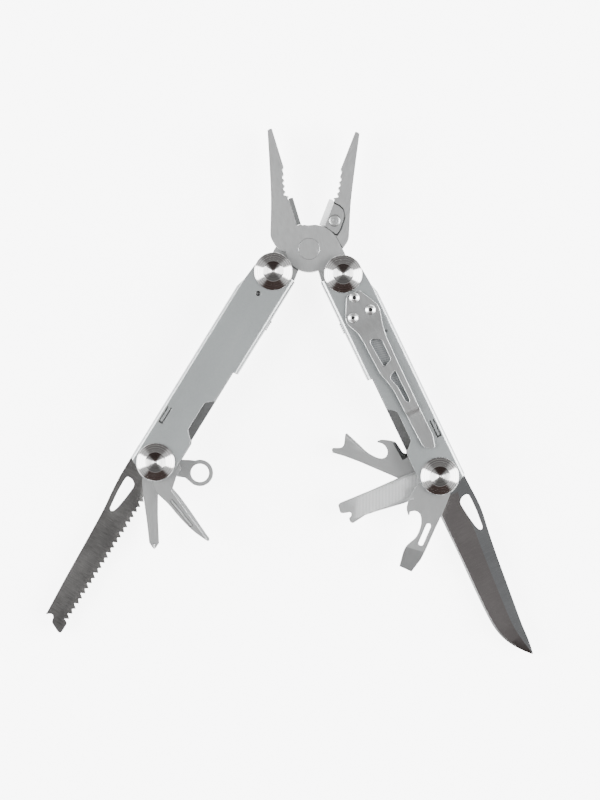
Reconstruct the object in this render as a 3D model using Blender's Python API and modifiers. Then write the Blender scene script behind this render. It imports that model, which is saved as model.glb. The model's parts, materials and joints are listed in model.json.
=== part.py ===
"""A plier-type folding multi tool, lying flat on its rear rosettes with every tool swung out.

Frames. X is to the right, Y is towards the jaw tips and Z is up, away from the surface it lies on.
Outlines of the pliers are drawn with the jaws closed along +Y, from the plier pivot.
Outlines of a handle are drawn as (u, v): u runs from the head axle to the tool axle, and v points
to the inner side, towards the other handle.
Outlines of a folding tool are drawn as (a, c): a runs forward from the tool axle to the tip, and c
points to the clockwise side of it.
All these numbers are in millimetres and are scaled by MM.
"""
import math

import bmesh
import bpy
from mathutils import Matrix, Vector

MM = 0.001

# pliers
LEFT_JAW_OPEN = 17.0
RIGHT_JAW_OPEN = 21.3
HEAD_PIVOT = (9.93, -13.74)
HEAD_HALF = 3.6
LAP_GAP = 0.15
PIVOT_PIN_RADIUS = 4.3
CUTTER_SCREW_SPOT = (-5.4, 14.2)
# handles
AXLE_SPACING = 89.0
LEFT_TILT = -31.67
RIGHT_TILT = 25.55
PLATE_OUT = 7.6
PLATE_IN = 6.4
HALF_WIDTH = 9.4
WALL = 1.2
BEND_RADIUS = 1.6
HEAD_AXLE_RADIUS = 3.0
TOOL_AXLE_RADIUS = 2.5
RUNNING_GAP = 0.2
# half heights of cutters that pass right through the pliers and through a handle
PAST_HEAD = 5.0
PAST_HANDLE = 9.0
# rosettes
ROSETTE_RADIUS = 7.6
ROSETTE_HEIGHT = 2.4
ROSETTE_GAP = 0.05
REST_HEIGHT = PLATE_OUT + ROSETTE_GAP + ROSETTE_HEIGHT

parts = None
cutters = None


def start():
    """Empty the scene and make the two collections."""
    global parts, cutters
    for thing in list(bpy.data.objects):
        bpy.data.objects.remove(thing, do_unlink=True)
    parts = bpy.data.collections.new("multi_tool")
    cutters = bpy.data.collections.new("cutters")
    bpy.context.scene.collection.children.link(parts)
    bpy.context.scene.collection.children.link(cutters)


def steel(name, colour, roughness):
    """A metal material."""
    made = bpy.data.materials.new(name)
    made.use_nodes = True
    shader = made.node_tree.nodes["Principled BSDF"]
    shader.inputs["Base Color"].default_value = (*colour, 1.0)
    shader.inputs["Roughness"].default_value = roughness
    shader.inputs["Metallic"].default_value = 1.0
    return made


def arc(x, y, radius, first, last, steps):
    """Points on an arc, angles in degrees, both ends included."""
    angles = [math.radians(first + (last - first) * i / steps) for i in range(steps + 1)]
    return [(x + radius * math.cos(t), y + radius * math.sin(t)) for t in angles]


def frame(name, parent, location, turn=0.0, flip=False):
    """An empty on a joint's axis. turn is in degrees about Z, flip turns it over about Y first."""
    empty = bpy.data.objects.new(name, None)
    empty.empty_display_size = 5 * MM
    parts.objects.link(empty)
    empty.parent = parent
    empty.location = Vector(location) * MM
    empty.rotation_euler = (0.0, math.pi if flip else 0.0, math.radians(turn))
    return empty


def add(name, mesh, parent, finish=None, smooth=30.0):
    """Put a mesh in the scene: a part when it has a finish, otherwise a cutter."""
    thing = bpy.data.objects.new(name, mesh)
    (parts if finish else cutters).objects.link(thing)
    thing.parent = parent
    if finish:
        mesh.materials.append(finish)
        mesh.shade_smooth()
        mesh.set_sharp_from_angle(angle=math.radians(smooth))
    else:
        thing.hide_render = True
        thing.display_type = "WIRE"
    return thing


def prism_mesh(outline, low, high, holes=()):
    """A flat outline with holes, from height low to high: a 2D curve, extruded and made a mesh."""
    curve = bpy.data.curves.new("outline", "CURVE")
    curve.dimensions = "2D"
    curve.fill_mode = "BOTH"
    curve.extrude = (high - low) / 2 * MM
    for loop in (outline, *holes):
        spline = curve.splines.new("POLY")
        spline.points.add(len(loop) - 1)
        spline.use_cyclic_u = True
        for point, (x, y) in zip(spline.points, loop):
            point.co = (x * MM, y * MM, 0.0, 1.0)
    holder = bpy.data.objects.new("outline", curve)
    bpy.context.scene.collection.objects.link(holder)
    graph = bpy.context.evaluated_depsgraph_get()
    mesh = bpy.data.meshes.new_from_object(holder.evaluated_get(graph))
    bpy.data.objects.remove(holder)
    bpy.data.curves.remove(curve)
    work = bmesh.new()
    work.from_mesh(mesh)
    bmesh.ops.remove_doubles(work, verts=work.verts, dist=0.001 * MM)
    bmesh.ops.translate(work, verts=work.verts, vec=(0, 0, (low + high) / 2 * MM))
    bmesh.ops.recalc_face_normals(work, faces=work.faces)
    work.to_mesh(mesh)
    work.free()
    return mesh


def box_mesh(x_low, x_high, y_low, y_high, z_low, z_high):
    """A box between two corners."""
    mesh = bpy.data.meshes.new("box")
    work = bmesh.new()
    bmesh.ops.create_cube(work, size=1.0)
    size = Vector((x_high - x_low, y_high - y_low, z_high - z_low)) * MM
    middle = Vector((x_high + x_low, y_high + y_low, z_high + z_low)) * MM / 2
    bmesh.ops.scale(work, vec=size, verts=work.verts)
    bmesh.ops.translate(work, vec=middle, verts=work.verts)
    work.to_mesh(mesh)
    work.free()
    return mesh


def rod_mesh(x, y, radius, low, high, sides=24):
    """A round rod along Z."""
    mesh = bpy.data.meshes.new("rod")
    work = bmesh.new()
    bmesh.ops.create_cone(work, cap_ends=True, segments=sides, radius1=radius * MM,
                          radius2=radius * MM, depth=(high - low) * MM)
    bmesh.ops.translate(work, vec=Vector((x, y, (low + high) / 2)) * MM, verts=work.verts)
    work.to_mesh(mesh)
    work.free()
    return mesh


def turned(name, profile, parent, finish, location=(0, 0, 0), closed=False, upside_down=False,
           steps=24):
    """A turned piece: a profile of (radius, height) points that runs down its outer side, screwed."""
    mesh = bpy.data.meshes.new(name)
    points = [(r * MM, 0.0, h * MM) for r, h in profile]
    edges = [(i, i + 1) for i in range(len(points) - 1)]
    if closed:
        edges.append((len(points) - 1, 0))
    mesh.from_pydata(points, edges, [])
    thing = add(name, mesh, parent, finish)
    thing.location = Vector(location) * MM
    if upside_down:
        thing.rotation_euler = (math.pi, 0.0, 0.0)
    screw = thing.modifiers.new("turn", "SCREW")
    screw.axis = "Z"
    screw.steps = steps
    screw.render_steps = steps
    screw.use_merge_vertices = True
    screw.merge_threshold = 0.000001
    screw.use_smooth_shade = True
    return thing


def cut(thing, name, mesh, operation="DIFFERENCE"):
    """Cut a part with a mesh drawn in the same frame, or join or cross it."""
    cutter = add(name, mesh, thing.parent)
    cutter.location = thing.location
    boolean = thing.modifiers.new(name, "BOOLEAN")
    boolean.operation = operation
    boolean.solver = "EXACT"
    boolean.object = cutter
    return cutter


# ---------------------------------------------------------------- pliers

def jaw_outline():
    """One forging: the jaw on the left of the closing line, the disc and the tang on the right."""
    x, y = HEAD_PIVOT
    teeth = []
    for i in range(4):
        along = 24.6 + 2.25 * i
        depth = 2.75 - 0.45 * i
        teeth += [(-depth - 0.45, along - 1.2), (-depth + 0.35, along)]
    inner = [(0.3, 9.5), (-0.15, 10.3), (-0.15, 22.0), (-1.6, 22.3)]
    tip = [(-1.0, 33.3), (-0.15, 34.2), (-0.15, 50.0), (-0.5, 50.3), (-2.1, 50.0)]
    shoulder = [(-13.2, 9.5), (-12.9, 6.8), (-12.0, 4.0), (-10.6, 2.4)]
    disc = arc(0, 0, 9.3, 170, 266, 14)
    lug = [(0.95, -9.3), (0.95, -13.88), (3.3, -13.5)]
    lobe = arc(x, y, 6.7, 180, 395, 16)
    neck = [(13.2, -7.0), (12.9, -4.5), (12.4, -2.6), (11.4, 2.1), (8.7, 6.2), (5.2, 8.5)]
    return inner + teeth + tip + shoulder + disc + lug + lobe + neck


def lap_cutter():
    """The room that the other forging's disc, jaw root and tang take in this one's far half."""
    root = [(0.6, 10.9), (-3.0, 10.5), (-7.7, 8.9), (-11.5, 5.9), (-15.0, 4.2), (-15.0, -15.0)]
    below = [(-4.0, -11.0), (0.0, -9.9), (3.5, -9.25), (6.5, -7.3), (8.5, -6.8), (20.0, -6.8)]
    return root + below + [(20.0, 10.9)]


def cutter_insert_outline(grow=0.0):
    """The wire cutter's plan in the jaw at the left of the closing line."""
    edge = [(-0.15 + grow * 3, 10.6 - grow), (-0.15 + grow * 3, 21.7 + grow)]
    top = [(-1.9, 21.7 + grow), (-2.6, 20.3 + grow), (-5.0, 20.2 + grow), (-7.1, 19.3 + grow)]
    side = [(-8.4 - grow, 17.0), (-8.7 - grow, 12.0), (-8.1 - grow, 9.3 - grow)]
    return edge + top + side + [(-5.4, 10.0 - grow), (-2.6, 10.7 - grow)]


def insert_section(grow=0.0):
    """The wire cutter's section across the jaw: a full-depth V edge on a half-depth plate."""
    edge = [(-0.15 + grow * 3, 0.0), (-1.75, HEAD_HALF + grow), (-9.5, HEAD_HALF + grow)]
    return edge + [(-9.5, LAP_GAP - grow), (-2.1 - grow, LAP_GAP - grow),
                   (-2.1 - grow, -HEAD_HALF - grow), (-1.75, -HEAD_HALF - grow)]


def section_mesh(section, low, high):
    """A section drawn in X and Z, carried along Y from low to high."""
    mesh = prism_mesh(section, low, high)
    mesh.transform(Matrix.Rotation(math.pi / 2, 4, "X"))
    mesh.transform(Matrix.Translation((0, (low + high) * MM, 0)))
    return mesh


def plier_half(name, parent, finish, insert_finish, screw_finish, word):
    """A jaw forging with its wire cutter and screw. The cutter sits in the far half, below Z = 0."""
    body = add(name, prism_mesh(jaw_outline(), -HEAD_HALF, HEAD_HALF), parent, finish)
    cut(body, name + "_lap", prism_mesh(lap_cutter(), -HEAD_HALF - 0.5, LAP_GAP))
    pin_bore = PIVOT_PIN_RADIUS + RUNNING_GAP
    cut(body, name + "_pin_bore", rod_mesh(0, 0, pin_bore, -PAST_HEAD, PAST_HEAD))
    x, y = HEAD_PIVOT
    tang_bore = HEAD_AXLE_RADIUS + RUNNING_GAP
    cut(body, name + "_tang_bore", rod_mesh(x, y, tang_bore, -PAST_HEAD, PAST_HEAD))
    cut(body, name + "_pocket", prism_mesh(cutter_insert_outline(0.3), -PAST_HEAD, 0.3))
    cut(body, name + "_blade_room", box_mesh(-2.4, 1, 10.3, 22.0, -PAST_HEAD, PAST_HEAD))

    insert = add(word + "_cutter_insert",
                 prism_mesh(cutter_insert_outline(), -PAST_HEAD, PAST_HEAD), parent, insert_finish)
    section = section_mesh(insert_section(), 5, 30)
    section.transform(Matrix.Scale(-1, 4, (0, 0, 1)))
    section.flip_normals()
    cut(insert, word + "_insert_section", section, "INTERSECT")
    cut(insert, word + "_insert_bore",
        rod_mesh(*CUTTER_SCREW_SPOT, 2.6, -PAST_HEAD, PAST_HEAD, 20))

    head = [(0.0, 0.35), (1.2, 0.3), (2.3, 0.05), (2.3, -2.6), (0.0, -2.6)]
    screw = turned(word + "_cutter_screw", head, parent, screw_finish,
                   (*CUTTER_SCREW_SPOT, -HEAD_HALF), upside_down=True, steps=20)
    slot = box_mesh(-3, 3, -0.35, 0.35, 0.05, 1)
    slot.transform(Matrix.Rotation(math.pi, 4, "X"))
    cut(screw, word + "_screw_slot", slot)
    return body


def pliers(base, finishes):
    """Both halves and the pin. Returns the two frames that turn with them."""
    front = frame("front_half_frame", base, (0, 0, 0), LEFT_JAW_OPEN)
    rear = frame("rear_half_frame", base, (0, 0, 0), -RIGHT_JAW_OPEN, flip=True)
    plier_half("front_jaw", front, finishes["jaw"], finishes["tool"], finishes["screw"], "front")
    plier_half("rear_jaw", rear, finishes["jaw"], finishes["tool"], finishes["screw"], "rear")
    rim = PIVOT_PIN_RADIUS - 0.15
    profile = [(0.0, 3.6), (rim, 3.6), (PIVOT_PIN_RADIUS, 3.45), (PIVOT_PIN_RADIUS, -3.45),
               (rim, -3.6), (0.0, -3.6)]
    turned("plier_pivot_pin", profile, front, finishes["jaw"])
    return front, rear


# ---------------------------------------------------------------- handles

def place(side, points):
    """(u, v) points of a handle in its frame's X and Y. side is 1 on the left and -1 on the right."""
    return [(side * v, -u) for u, v in points]


def handle_box(side, u_low, u_high, v_low, v_high, z_low, z_high):
    """A box given in a handle's (u, v, z)."""
    x_low, x_high = sorted((side * v_low, side * v_high))
    return box_mesh(x_low, x_high, -u_high, -u_low, z_low, z_high)


def plate_outline():
    """The handle seen from the front, bends included: round ends, steps where the webs stop."""
    tail = AXLE_SPACING
    head_end = [(-p[1], p[0]) for p in arc(0, 0, 7.4, 25, 160, 16)]
    outer = [(2.0, -7.7), (8.6, -8.3), (12.4, -HALF_WIDTH), (92.4, -HALF_WIDTH), (92.9, -8.6)]
    tail_end = [(tail - p[1], p[0]) for p in arc(0, 0, 7.9, -140, -10, 14)]
    inner = [(84.0, 8.0), (76.0, 8.0), (74.6, 7.3), (42.6, 7.3), (42.6, 8.6), (42.3, HALF_WIDTH)]
    return head_end + outer + tail_end + inner + [(-0.9, HALF_WIDTH), (-0.9, 7.4)]


def channel_blank(name, side, parent, finish):
    """A rounded rectangular bar as long as the handle, which the plan is then cut from."""
    mesh = handle_box(side, -9, AXLE_SPACING + 10, -HALF_WIDTH, HALF_WIDTH, -PLATE_OUT, PLATE_OUT)
    work = bmesh.new()
    work.from_mesh(mesh)
    long_edges = [e for e in work.edges if abs(e.verts[0].co.y - e.verts[1].co.y) > 0.05]
    bmesh.ops.bevel(work, geom=long_edges, offset=BEND_RADIUS * MM, segments=3, profile=0.5,
                     affect="EDGES")
    work.to_mesh(mesh)
    work.free()
    return add(name, mesh, parent, finish)


def channel(word, side, parent, finish):
    """The folded sheet body: two plates, the webs with their openings, and the holes."""
    body = channel_blank(word + "_channel", side, parent, finish)
    cut(body, word + "_plan", prism_mesh(place(side, plate_outline()), -PAST_HANDLE, PAST_HANDLE),
        "INTERSECT")
    inside = HALF_WIDTH - WALL
    cut(body, word + "_hollow", handle_box(side, -20, 110, -inside, inside, -PLATE_IN, PLATE_IN))
    openings = {
        "jaw_window": (-20, 67.0, -12, -inside + 1, -4.0, 4.0),
        "head_room": (-20, 12.0, -12, -inside + 1, -PLATE_IN, PLATE_IN),
        "blade_stop": (86.2, 110, -12, -inside + 1, -PLATE_IN, -3.5),
        "tail_room": (92.0, 110, -12, -inside + 1, -PLATE_IN, PLATE_IN),
        "blade_way": (-20, 60, inside - 1, 12, -PLATE_IN, -3.2),
        "slide_slot": (15.4, 25.0, inside - 1, 12, -0.2, 4.2),
    }
    for label, size in openings.items():
        cut(body, f"{word}_{label}", handle_box(side, *size))
    nick = [(55.8, 12.0), (55.8, 7.6), (58.6, 4.1), (71.4, 4.1), (74.6, 7.4), (74.6, 12.0)]
    cut(body, word + "_thumb_notch", prism_mesh(place(side, nick), 5, PAST_HANDLE))
    for u, radius in ((0.0, HEAD_AXLE_RADIUS), (AXLE_SPACING, TOOL_AXLE_RADIUS)):
        x, y = place(side, [(u, 0.0)])[0]
        cut(body, f"{word}_bore_{round(u)}",
            rod_mesh(x, y, radius + RUNNING_GAP, -PAST_HANDLE, PAST_HANDLE))
    tongue = [(67.3, -7.35), (74.6, -7.35), (74.6, -6.95), (67.7, -6.95), (67.7, -6.35),
              (74.6, -6.35), (74.6, -5.95), (67.3, -5.95)]
    cut(body, word + "_tongue_slit", prism_mesh(place(side, tongue), 5, PAST_HANDLE))
    return body


def rosette(name, x, y, parent, finish, front):
    """A turned cap: a rim, a cone falling outwards, a dish with a centre point and a blind bore."""
    rim = ROSETTE_RADIUS * 0.53
    cone = [(rim + 0.25, ROSETTE_HEIGHT), (rim + 1.7, 1.85), (ROSETTE_RADIUS, 0.5),
            (ROSETTE_RADIUS, 0.0)]
    dish = [(0.0, 1.5), (1.0, 1.2), (2.5, 1.6), (rim - 0.25, ROSETTE_HEIGHT)]
    under = [(HEAD_AXLE_RADIUS + 0.3, 0.0), (HEAD_AXLE_RADIUS + 0.3, 0.6), (0.0, 0.6)]
    height = PLATE_OUT + ROSETTE_GAP
    return turned(name, dish + cone + under, parent, finish, (x, y, height if front else -height),
                  upside_down=not front)


def ring(name, x, y, inner, outer, low, high, parent, finish, steps=20):
    """A washer around an axle, from height low to high."""
    profile = [(outer, high), (outer, low), (inner, low), (inner, high)]
    return turned(name, profile, parent, finish, (x, y, 0), closed=True, steps=steps)


def axle(name, x, y, radius, parent, finish):
    """An axle through both plates, ending inside the caps."""
    thing = add(name, rod_mesh(0, 0, radius, -PLATE_OUT - 0.4, PLATE_OUT + 0.4), parent, finish)
    thing.location = (x * MM, y * MM, 0.0)
    return thing


def slide(word, side, parent, finish, spring_finish):
    """The lock slide in the inner web, with its tongue inside, and the leaf that returns it."""
    inside = HALF_WIDTH - WALL
    tongue = handle_box(side, 8.0, 22.0, inside - 1.0, inside - 0.2, -0.8, 4.8)
    body = add(word + "_lock_slider", tongue, parent, finish)
    button = handle_box(side, 17.2, 21.4, inside - 0.6, HALF_WIDTH + 0.6, 0.2, 3.8)
    cut(body, word + "_slide_button", button, "UNION")
    leaf = handle_box(side, 25.4, 40.0, inside - 0.8, inside - 0.2, 0.2, 3.8)
    add(word + "_slider_spring", leaf, parent, spring_finish)


def handle(word, side, base, tilt, finishes, gaps):
    """A whole handle without its tools, on its head axle. gaps are its tool spacers' heights."""
    turn = LEFT_JAW_OPEN if side < 0 else -RIGHT_JAW_OPEN
    pivot = Matrix.Rotation(math.radians(turn), 4, "Z") @ Vector((-side * HEAD_PIVOT[0],
                                                                   HEAD_PIVOT[1], 0.0))
    body = frame(word + "_handle_frame", base, pivot, tilt)
    channel(word, side, body, finishes["plate"])
    ends = {"head": (0.0, 0.0, HEAD_AXLE_RADIUS), "tool": (0.0, -AXLE_SPACING, TOOL_AXLE_RADIUS)}
    for end, (x, y, radius) in ends.items():
        axle(f"{word}_{end}_axle", x, y, radius, body, finishes["screw"])
        for front, which in ((True, "front"), (False, "rear")):
            rosette(f"{word}_{end}_cap_{which}", x, y, body, finishes["rosette"], front)
    inner = HEAD_AXLE_RADIUS + 0.1
    for which, low, high in (("front", HEAD_HALF + 0.1, PLATE_IN - 0.1),
                             ("rear", 0.1 - PLATE_IN, -HEAD_HALF - 0.1)):
        ring(f"{word}_head_washer_{which}", 0, 0, inner, 5.2, low, high, body, finishes["screw"])
    for which, (low, high) in gaps.items():
        ring(f"{word}_tool_spacer_{which}", 0, -AXLE_SPACING, TOOL_AXLE_RADIUS + 0.1, 5.0, low,
             high, body, finishes["screw"])
    slide(word, side, body, finishes["screw"], finishes["tool"])
    return body


# ---------------------------------------------------------------- folding tools

def folding_tool(name, body, x, y, heading, outline, low, high, finish, holes=()):
    """A flat tool on the tool axle. heading is the direction of its tip in degrees, in the world."""
    holder = frame(name + "_frame", body.parent, (0, 0, 0))
    spot = Matrix.Rotation(body.rotation_euler.z, 4, "Z") @ Vector((x * MM, y * MM, 0.0))
    holder.location = body.location + spot
    holder.rotation_euler = (0.0, 0.0, math.radians(heading))
    bore = arc(0, 0, TOOL_AXLE_RADIUS + RUNNING_GAP, 0, 345, 23)
    loops = [[(a, -c) for a, c in loop] for loop in (outline, bore, *holes)]
    return add(name, prism_mesh(loops[0], low, high, loops[1:]), holder, finish)


def tang(radius, first, last, steps=14):
    """The round root of a tool, around the axle from one side of it to the other."""
    return arc(0, 0, radius, first, last, steps)


def knife_outline():
    """A drop point: belly, spine and a root that stops against the channel's web."""
    edge = [(8.5, 6.2), (13.6, 6.9), (15.0, 7.0), (30.0, 7.6), (45.0, 8.5), (57.0, 9.0),
            (64.0, 8.9), (68.5, 8.1), (72.5, 6.6), (76.5, 4.2), (79.5, 1.9), (81.2, 0.3)]
    spine = [(80.6, -0.2), (75.0, -1.1), (68.0, -1.7), (60.0, -2.8), (50.0, -4.2), (40.0, -5.6),
             (30.0, -7.2), (22.0, -8.7), (17.0, -9.3), (-2.4, -9.3), (-2.4, -7.4)]
    return edge + spine + tang(7.0, 250, 60)


def thumb_hole():
    """The teardrop opening near the root of the two long blades."""
    wide = [(12.0, -6.5), (12.0, -4.6), (13.2, -2.9), (14.6, -2.5), (20.0, -2.9), (25.0, -3.6)]
    return wide + [(26.9, -4.3), (27.4, -5.2), (26.6, -6.0), (20.0, -6.9), (15.0, -7.2),
                   (12.6, -7.1)]


def saw_outline():
    """Coarse teeth on the inner edge, a slanted tip with a hooked notch, and the same root."""
    teeth = [(12.0, -2.7)]
    pitch = 2.42
    for i in range(24):
        start_of_tooth = 15.2 + pitch * i
        deep = -2.4 if i % 2 else -2.9
        teeth += [(start_of_tooth, deep), (start_of_tooth + 1.5, -4.0)]
    tip = [(74.0, -3.0), (74.4, -4.3), (78.8, -4.3), (79.2, -3.2), (77.2, 1.2), (75.2, 1.7),
           (74.3, 2.5), (74.7, 3.6), (75.7, 4.8), (75.1, 5.2)]
    back = [(60.0, 6.0), (40.0, 7.1), (28.0, 7.9), (20.0, 8.9), (13.0, 9.8), (-2.4, 10.3),
            (-2.4, 7.4)]
    return teeth + tip + back + tang(7.0, 110, 300)


def file_outline():
    """A flat file with a notched driver tip."""
    upper = [(7.0, 5.2), (16.2, 5.2), (28.0, 4.8), (40.9, 4.7), (41.8, 4.1), (42.1, 1.0)]
    notch = [(41.2, 0.4), (39.6, 0.0), (38.5, -0.2), (38.1, -0.8), (38.5, -1.8), (39.8, -2.4)]
    lower = [(39.8, -4.0), (39.0, -4.8), (33.2, -3.6), (28.0, -3.9), (17.0, -5.0), (7.0, -5.0)]
    return upper + notch + lower + tang(6.8, 310, 50)


def can_opener_outline():
    """A can opener hook at the root side and a forked claw at the tip."""
    hook = [(8.0, 4.4), (16.4, 4.4), (20.4, 7.6), (21.6, 7.6), (24.0, 7.3), (26.4, 6.7),
            (27.6, 5.7), (27.4, 5.2), (26.0, 5.3)]
    hollow = [(24.2, 4.9), (22.8, 3.6), (22.2, 2.0), (22.5, 0.6), (23.6, -0.3), (25.0, -0.6),
              (27.0, -0.5), (30.5, 0.4), (35.0, 2.6), (40.2, 5.0), (40.7, 4.3)]
    fork = [(40.1, 1.4), (40.0, -0.2), (40.8, -1.3), (42.4, -1.9), (43.6, -2.3), (43.9, -3.1),
            (43.3, -4.2), (38.0, -4.1), (32.0, -4.4), (24.0, -5.2), (15.3, -6.0), (7.0, -6.0)]
    return hook + hollow + fork + tang(6.8, 300, 45)


def bottle_opener_outline():
    """A cap lifter with its hook, a small nail nick and a wide flat driver tip."""
    hook = [(7.0, 7.3), (11.0, 7.9), (11.3, 6.9), (12.0, 6.5), (12.7, 6.9), (12.8, 8.0),
            (14.5, 8.2), (16.0, 8.1), (17.6, 7.4), (18.9, 6.3), (18.7, 5.9), (17.8, 6.1)]
    hollow = [(16.9, 5.5), (16.4, 4.2), (16.5, 2.9), (17.3, 1.7), (19.0, 0.8), (21.0, 0.2),
              (24.0, 0.1), (26.5, 0.6), (29.0, 2.0), (31.0, 2.9), (33.5, 3.1), (37.2, 2.8)]
    blade = [(39.2, 2.7), (39.6, -2.7), (37.5, -3.3), (33.6, -4.5), (30.0, -4.9), (20.0, -5.6),
             (12.0, -6.3), (5.0, -6.5)]
    return hook + hollow + blade + tang(7.0, 295, 50)


def driver_slot():
    """The long opening in the middle of the bottle opener."""
    return arc(20.2, -2.7, 1.0, 90, 270, 6) + arc(27.6, -2.3, 1.0, -90, 90, 6)


def awl_outline():
    """A reamer with one long straight sharpened side."""
    taper = [(8.0, 6.2), (10.9, 6.5), (16.2, 5.3), (23.7, 4.4), (30.4, 3.1), (35.1, 1.5),
             (37.6, 0.4), (37.7, -0.4), (36.9, -0.9)]
    straight = [(31.8, -1.2), (26.5, -1.2), (21.0, -0.9), (15.9, -0.6), (9.5, -0.6), (8.0, -3.6)]
    return taper + straight + tang(6.8, 320, 50)


def phillips_outline():
    """A tapering shank with a pointed driver tip."""
    upper = [(8.0, 5.6), (14.1, 5.0), (22.1, 3.8), (30.2, 2.7), (32.6, 2.4), (34.4, 1.1),
             (34.8, 0.5)]
    lower = [(34.4, -0.1), (32.6, -1.3), (29.0, -1.1), (20.7, -0.8), (12.8, -0.8), (8.0, -3.6)]
    return upper + lower + tang(6.8, 320, 50)


def ring_outline():
    """A neck and the lanyard eye."""
    eye = [(17.8 + p[0], p[1]) for p in arc(0, 0, 5.2, 125, -125, 24)]
    return [(6.0, 4.6), (9.5, 3.7), (12.6, 3.4)] + eye + [(12.6, -4.0), (9.5, -3.3),
                                                        (6.0, -4.2)] + tang(6.6, 310, 50)


def tools(left, right, finishes):
    """The eight tools, front to back on each axle."""
    y = -AXLE_SPACING
    flat, dark = finishes["tool"], finishes["saw"]
    folding_tool("awl", left, 0, y, -56.2, awl_outline(), 3.9, 6.1, flat)
    folding_tool("phillips_driver", left, 0, y, -90.5, phillips_outline(), 1.1, 3.5, flat)
    eye = [(17.8 + p[0], p[1]) for p in arc(0, 0, 3.8, 0, 345, 23)]
    folding_tool("lanyard_ring", left, 0, y, -14.8, ring_outline(), -3.4, -1.4, flat, [eye])
    saw_hole = [(a - 0.6, -c) for a, c in thumb_hole()]
    folding_tool("saw_blade", left, 0, y, -122.4, saw_outline(), -6.2, -3.9, dark, [saw_hole])
    folding_tool("bottle_opener", right, 0, y, -110.2, bottle_opener_outline(), 3.7, 6.1, flat,
                 [driver_slot()])
    folding_tool("file", right, 0, y, -158.1, file_outline(), -0.9, 1.5, flat)
    folding_tool("can_opener", right, 0, y, 162.3, can_opener_outline(), -3.5, -1.3, flat)
    folding_tool("knife_blade", right, 0, y, -62.0, knife_outline(), -6.2, -3.9,
                 finishes["knife"], [thumb_hole()])


# ---------------------------------------------------------------- pocket clip

CLIP_THICK = 1.0
CLIP_SCREWS = {"top": (10.4, 0.1), "inner": (17.4, 4.0), "outer": (17.5, -3.6)}


def clip_rise(u):
    """How far the clip stands off the plate at a distance u along the handle."""
    stations = [(0.0, 0.0), (19.8, 0.0), (23.8, 1.15), (42.0, 1.15), (60.0, 0.95), (63.4, 0.1),
                (67.0, 0.1), (78.5, 0.85)]
    for (u_low, low), (u_high, high) in zip(stations, stations[1:]):
        if u <= u_high:
            return low + (high - low) * (u - u_low) / (u_high - u_low)
    return stations[-1][1]


def pocket_clip(side, parent, finishes):
    """A stamped strip with two openings, bent off the front plate and held by three screws."""
    inner = [(8.3, 2.6), (16.4, 6.9), (18.6, 7.2), (21.0, 6.3), (24.0, 4.9), (28.0, 4.5),
             (42.5, 3.9), (46.0, 2.8), (50.5, 1.9), (60.0, 1.6), (66.0, 1.4), (74.5, 1.1),
             (76.4, 0.4), (77.9, -2.3)]
    outer = [(77.6, -3.3), (73.0, -4.6), (60.0, -4.4), (40.0, -4.5), (30.0, -4.7), (25.0, -5.4),
             (21.5, -6.4), (18.5, -7.2), (16.4, -7.0), (8.3, -3.0)]
    first = [(28.2, 1.0), (29.2, 2.1), (34.0, 1.8), (39.6, 1.3), (40.0, 0.6), (38.8, -2.4),
             (30.0, -2.5)]
    second = [(43.3, -2.1), (44.6, 0.5), (45.8, 1.0), (49.5, -0.2), (56.0, -0.6), (57.2, -1.4),
              (56.5, -2.2)]
    screws = [[(u + p[0], v + p[1]) for p in arc(0, 0, 1.6, 0, 337.5, 15)]
              for u, v in CLIP_SCREWS.values()]
    loops = [place(side, loop) for loop in (inner + outer, first, second, *screws)]
    low = PLATE_OUT + 0.05
    mesh = prism_mesh(loops[0], low, low + CLIP_THICK, loops[1:])
    work = bmesh.new()
    work.from_mesh(mesh)
    for u in (19.8, 23.8, 42.0, 60.0, 63.4, 67.0):
        geometry = work.verts[:] + work.edges[:] + work.faces[:]
        bmesh.ops.bisect_plane(work, geom=geometry, dist=0.001 * MM, plane_co=(0, -u * MM, 0),
                               plane_no=(0, 1, 0))
    for vertex in work.verts:
        vertex.co.z += clip_rise(-vertex.co.y / MM) * MM
    work.to_mesh(mesh)
    work.free()
    add("pocket_clip", mesh, parent, finishes["plate"])
    dome = [(0.0, 1.0), (0.9, 0.95), (1.6, 0.65), (2.1, 0.1), (2.1, 0.0), (1.35, 0.0),
            (1.35, -CLIP_THICK + 0.05), (0.0, -CLIP_THICK + 0.05)]
    for which, (u, v) in CLIP_SCREWS.items():
        x, y = place(side, [(u, v)])[0]
        screw = turned(f"clip_screw_{which}", dome, parent, finishes["rosette"],
                       (x, y, low + CLIP_THICK + 0.05), steps=16)
        cut(screw, f"clip_socket_{which}", rod_mesh(0, 0, 0.75, 0.3, 2.0, 6))


# ---------------------------------------------------------------- assembly

def stand_on_middle(base):
    """Move the whole tool so that its bounding box stands on the origin."""
    bpy.context.view_layer.update()
    graph = bpy.context.evaluated_depsgraph_get()
    corners = []
    for thing in parts.objects:
        if thing.type == "MESH":
            solid = thing.evaluated_get(graph)
            corners += [thing.matrix_world @ v.co for v in solid.data.vertices]
    low = [min(c[i] for c in corners) for i in range(3)]
    high = [max(c[i] for c in corners) for i in range(3)]
    base.location -= Vector(((low[0] + high[0]) / 2, (low[1] + high[1]) / 2, low[2]))
    bpy.context.view_layer.update()


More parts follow.
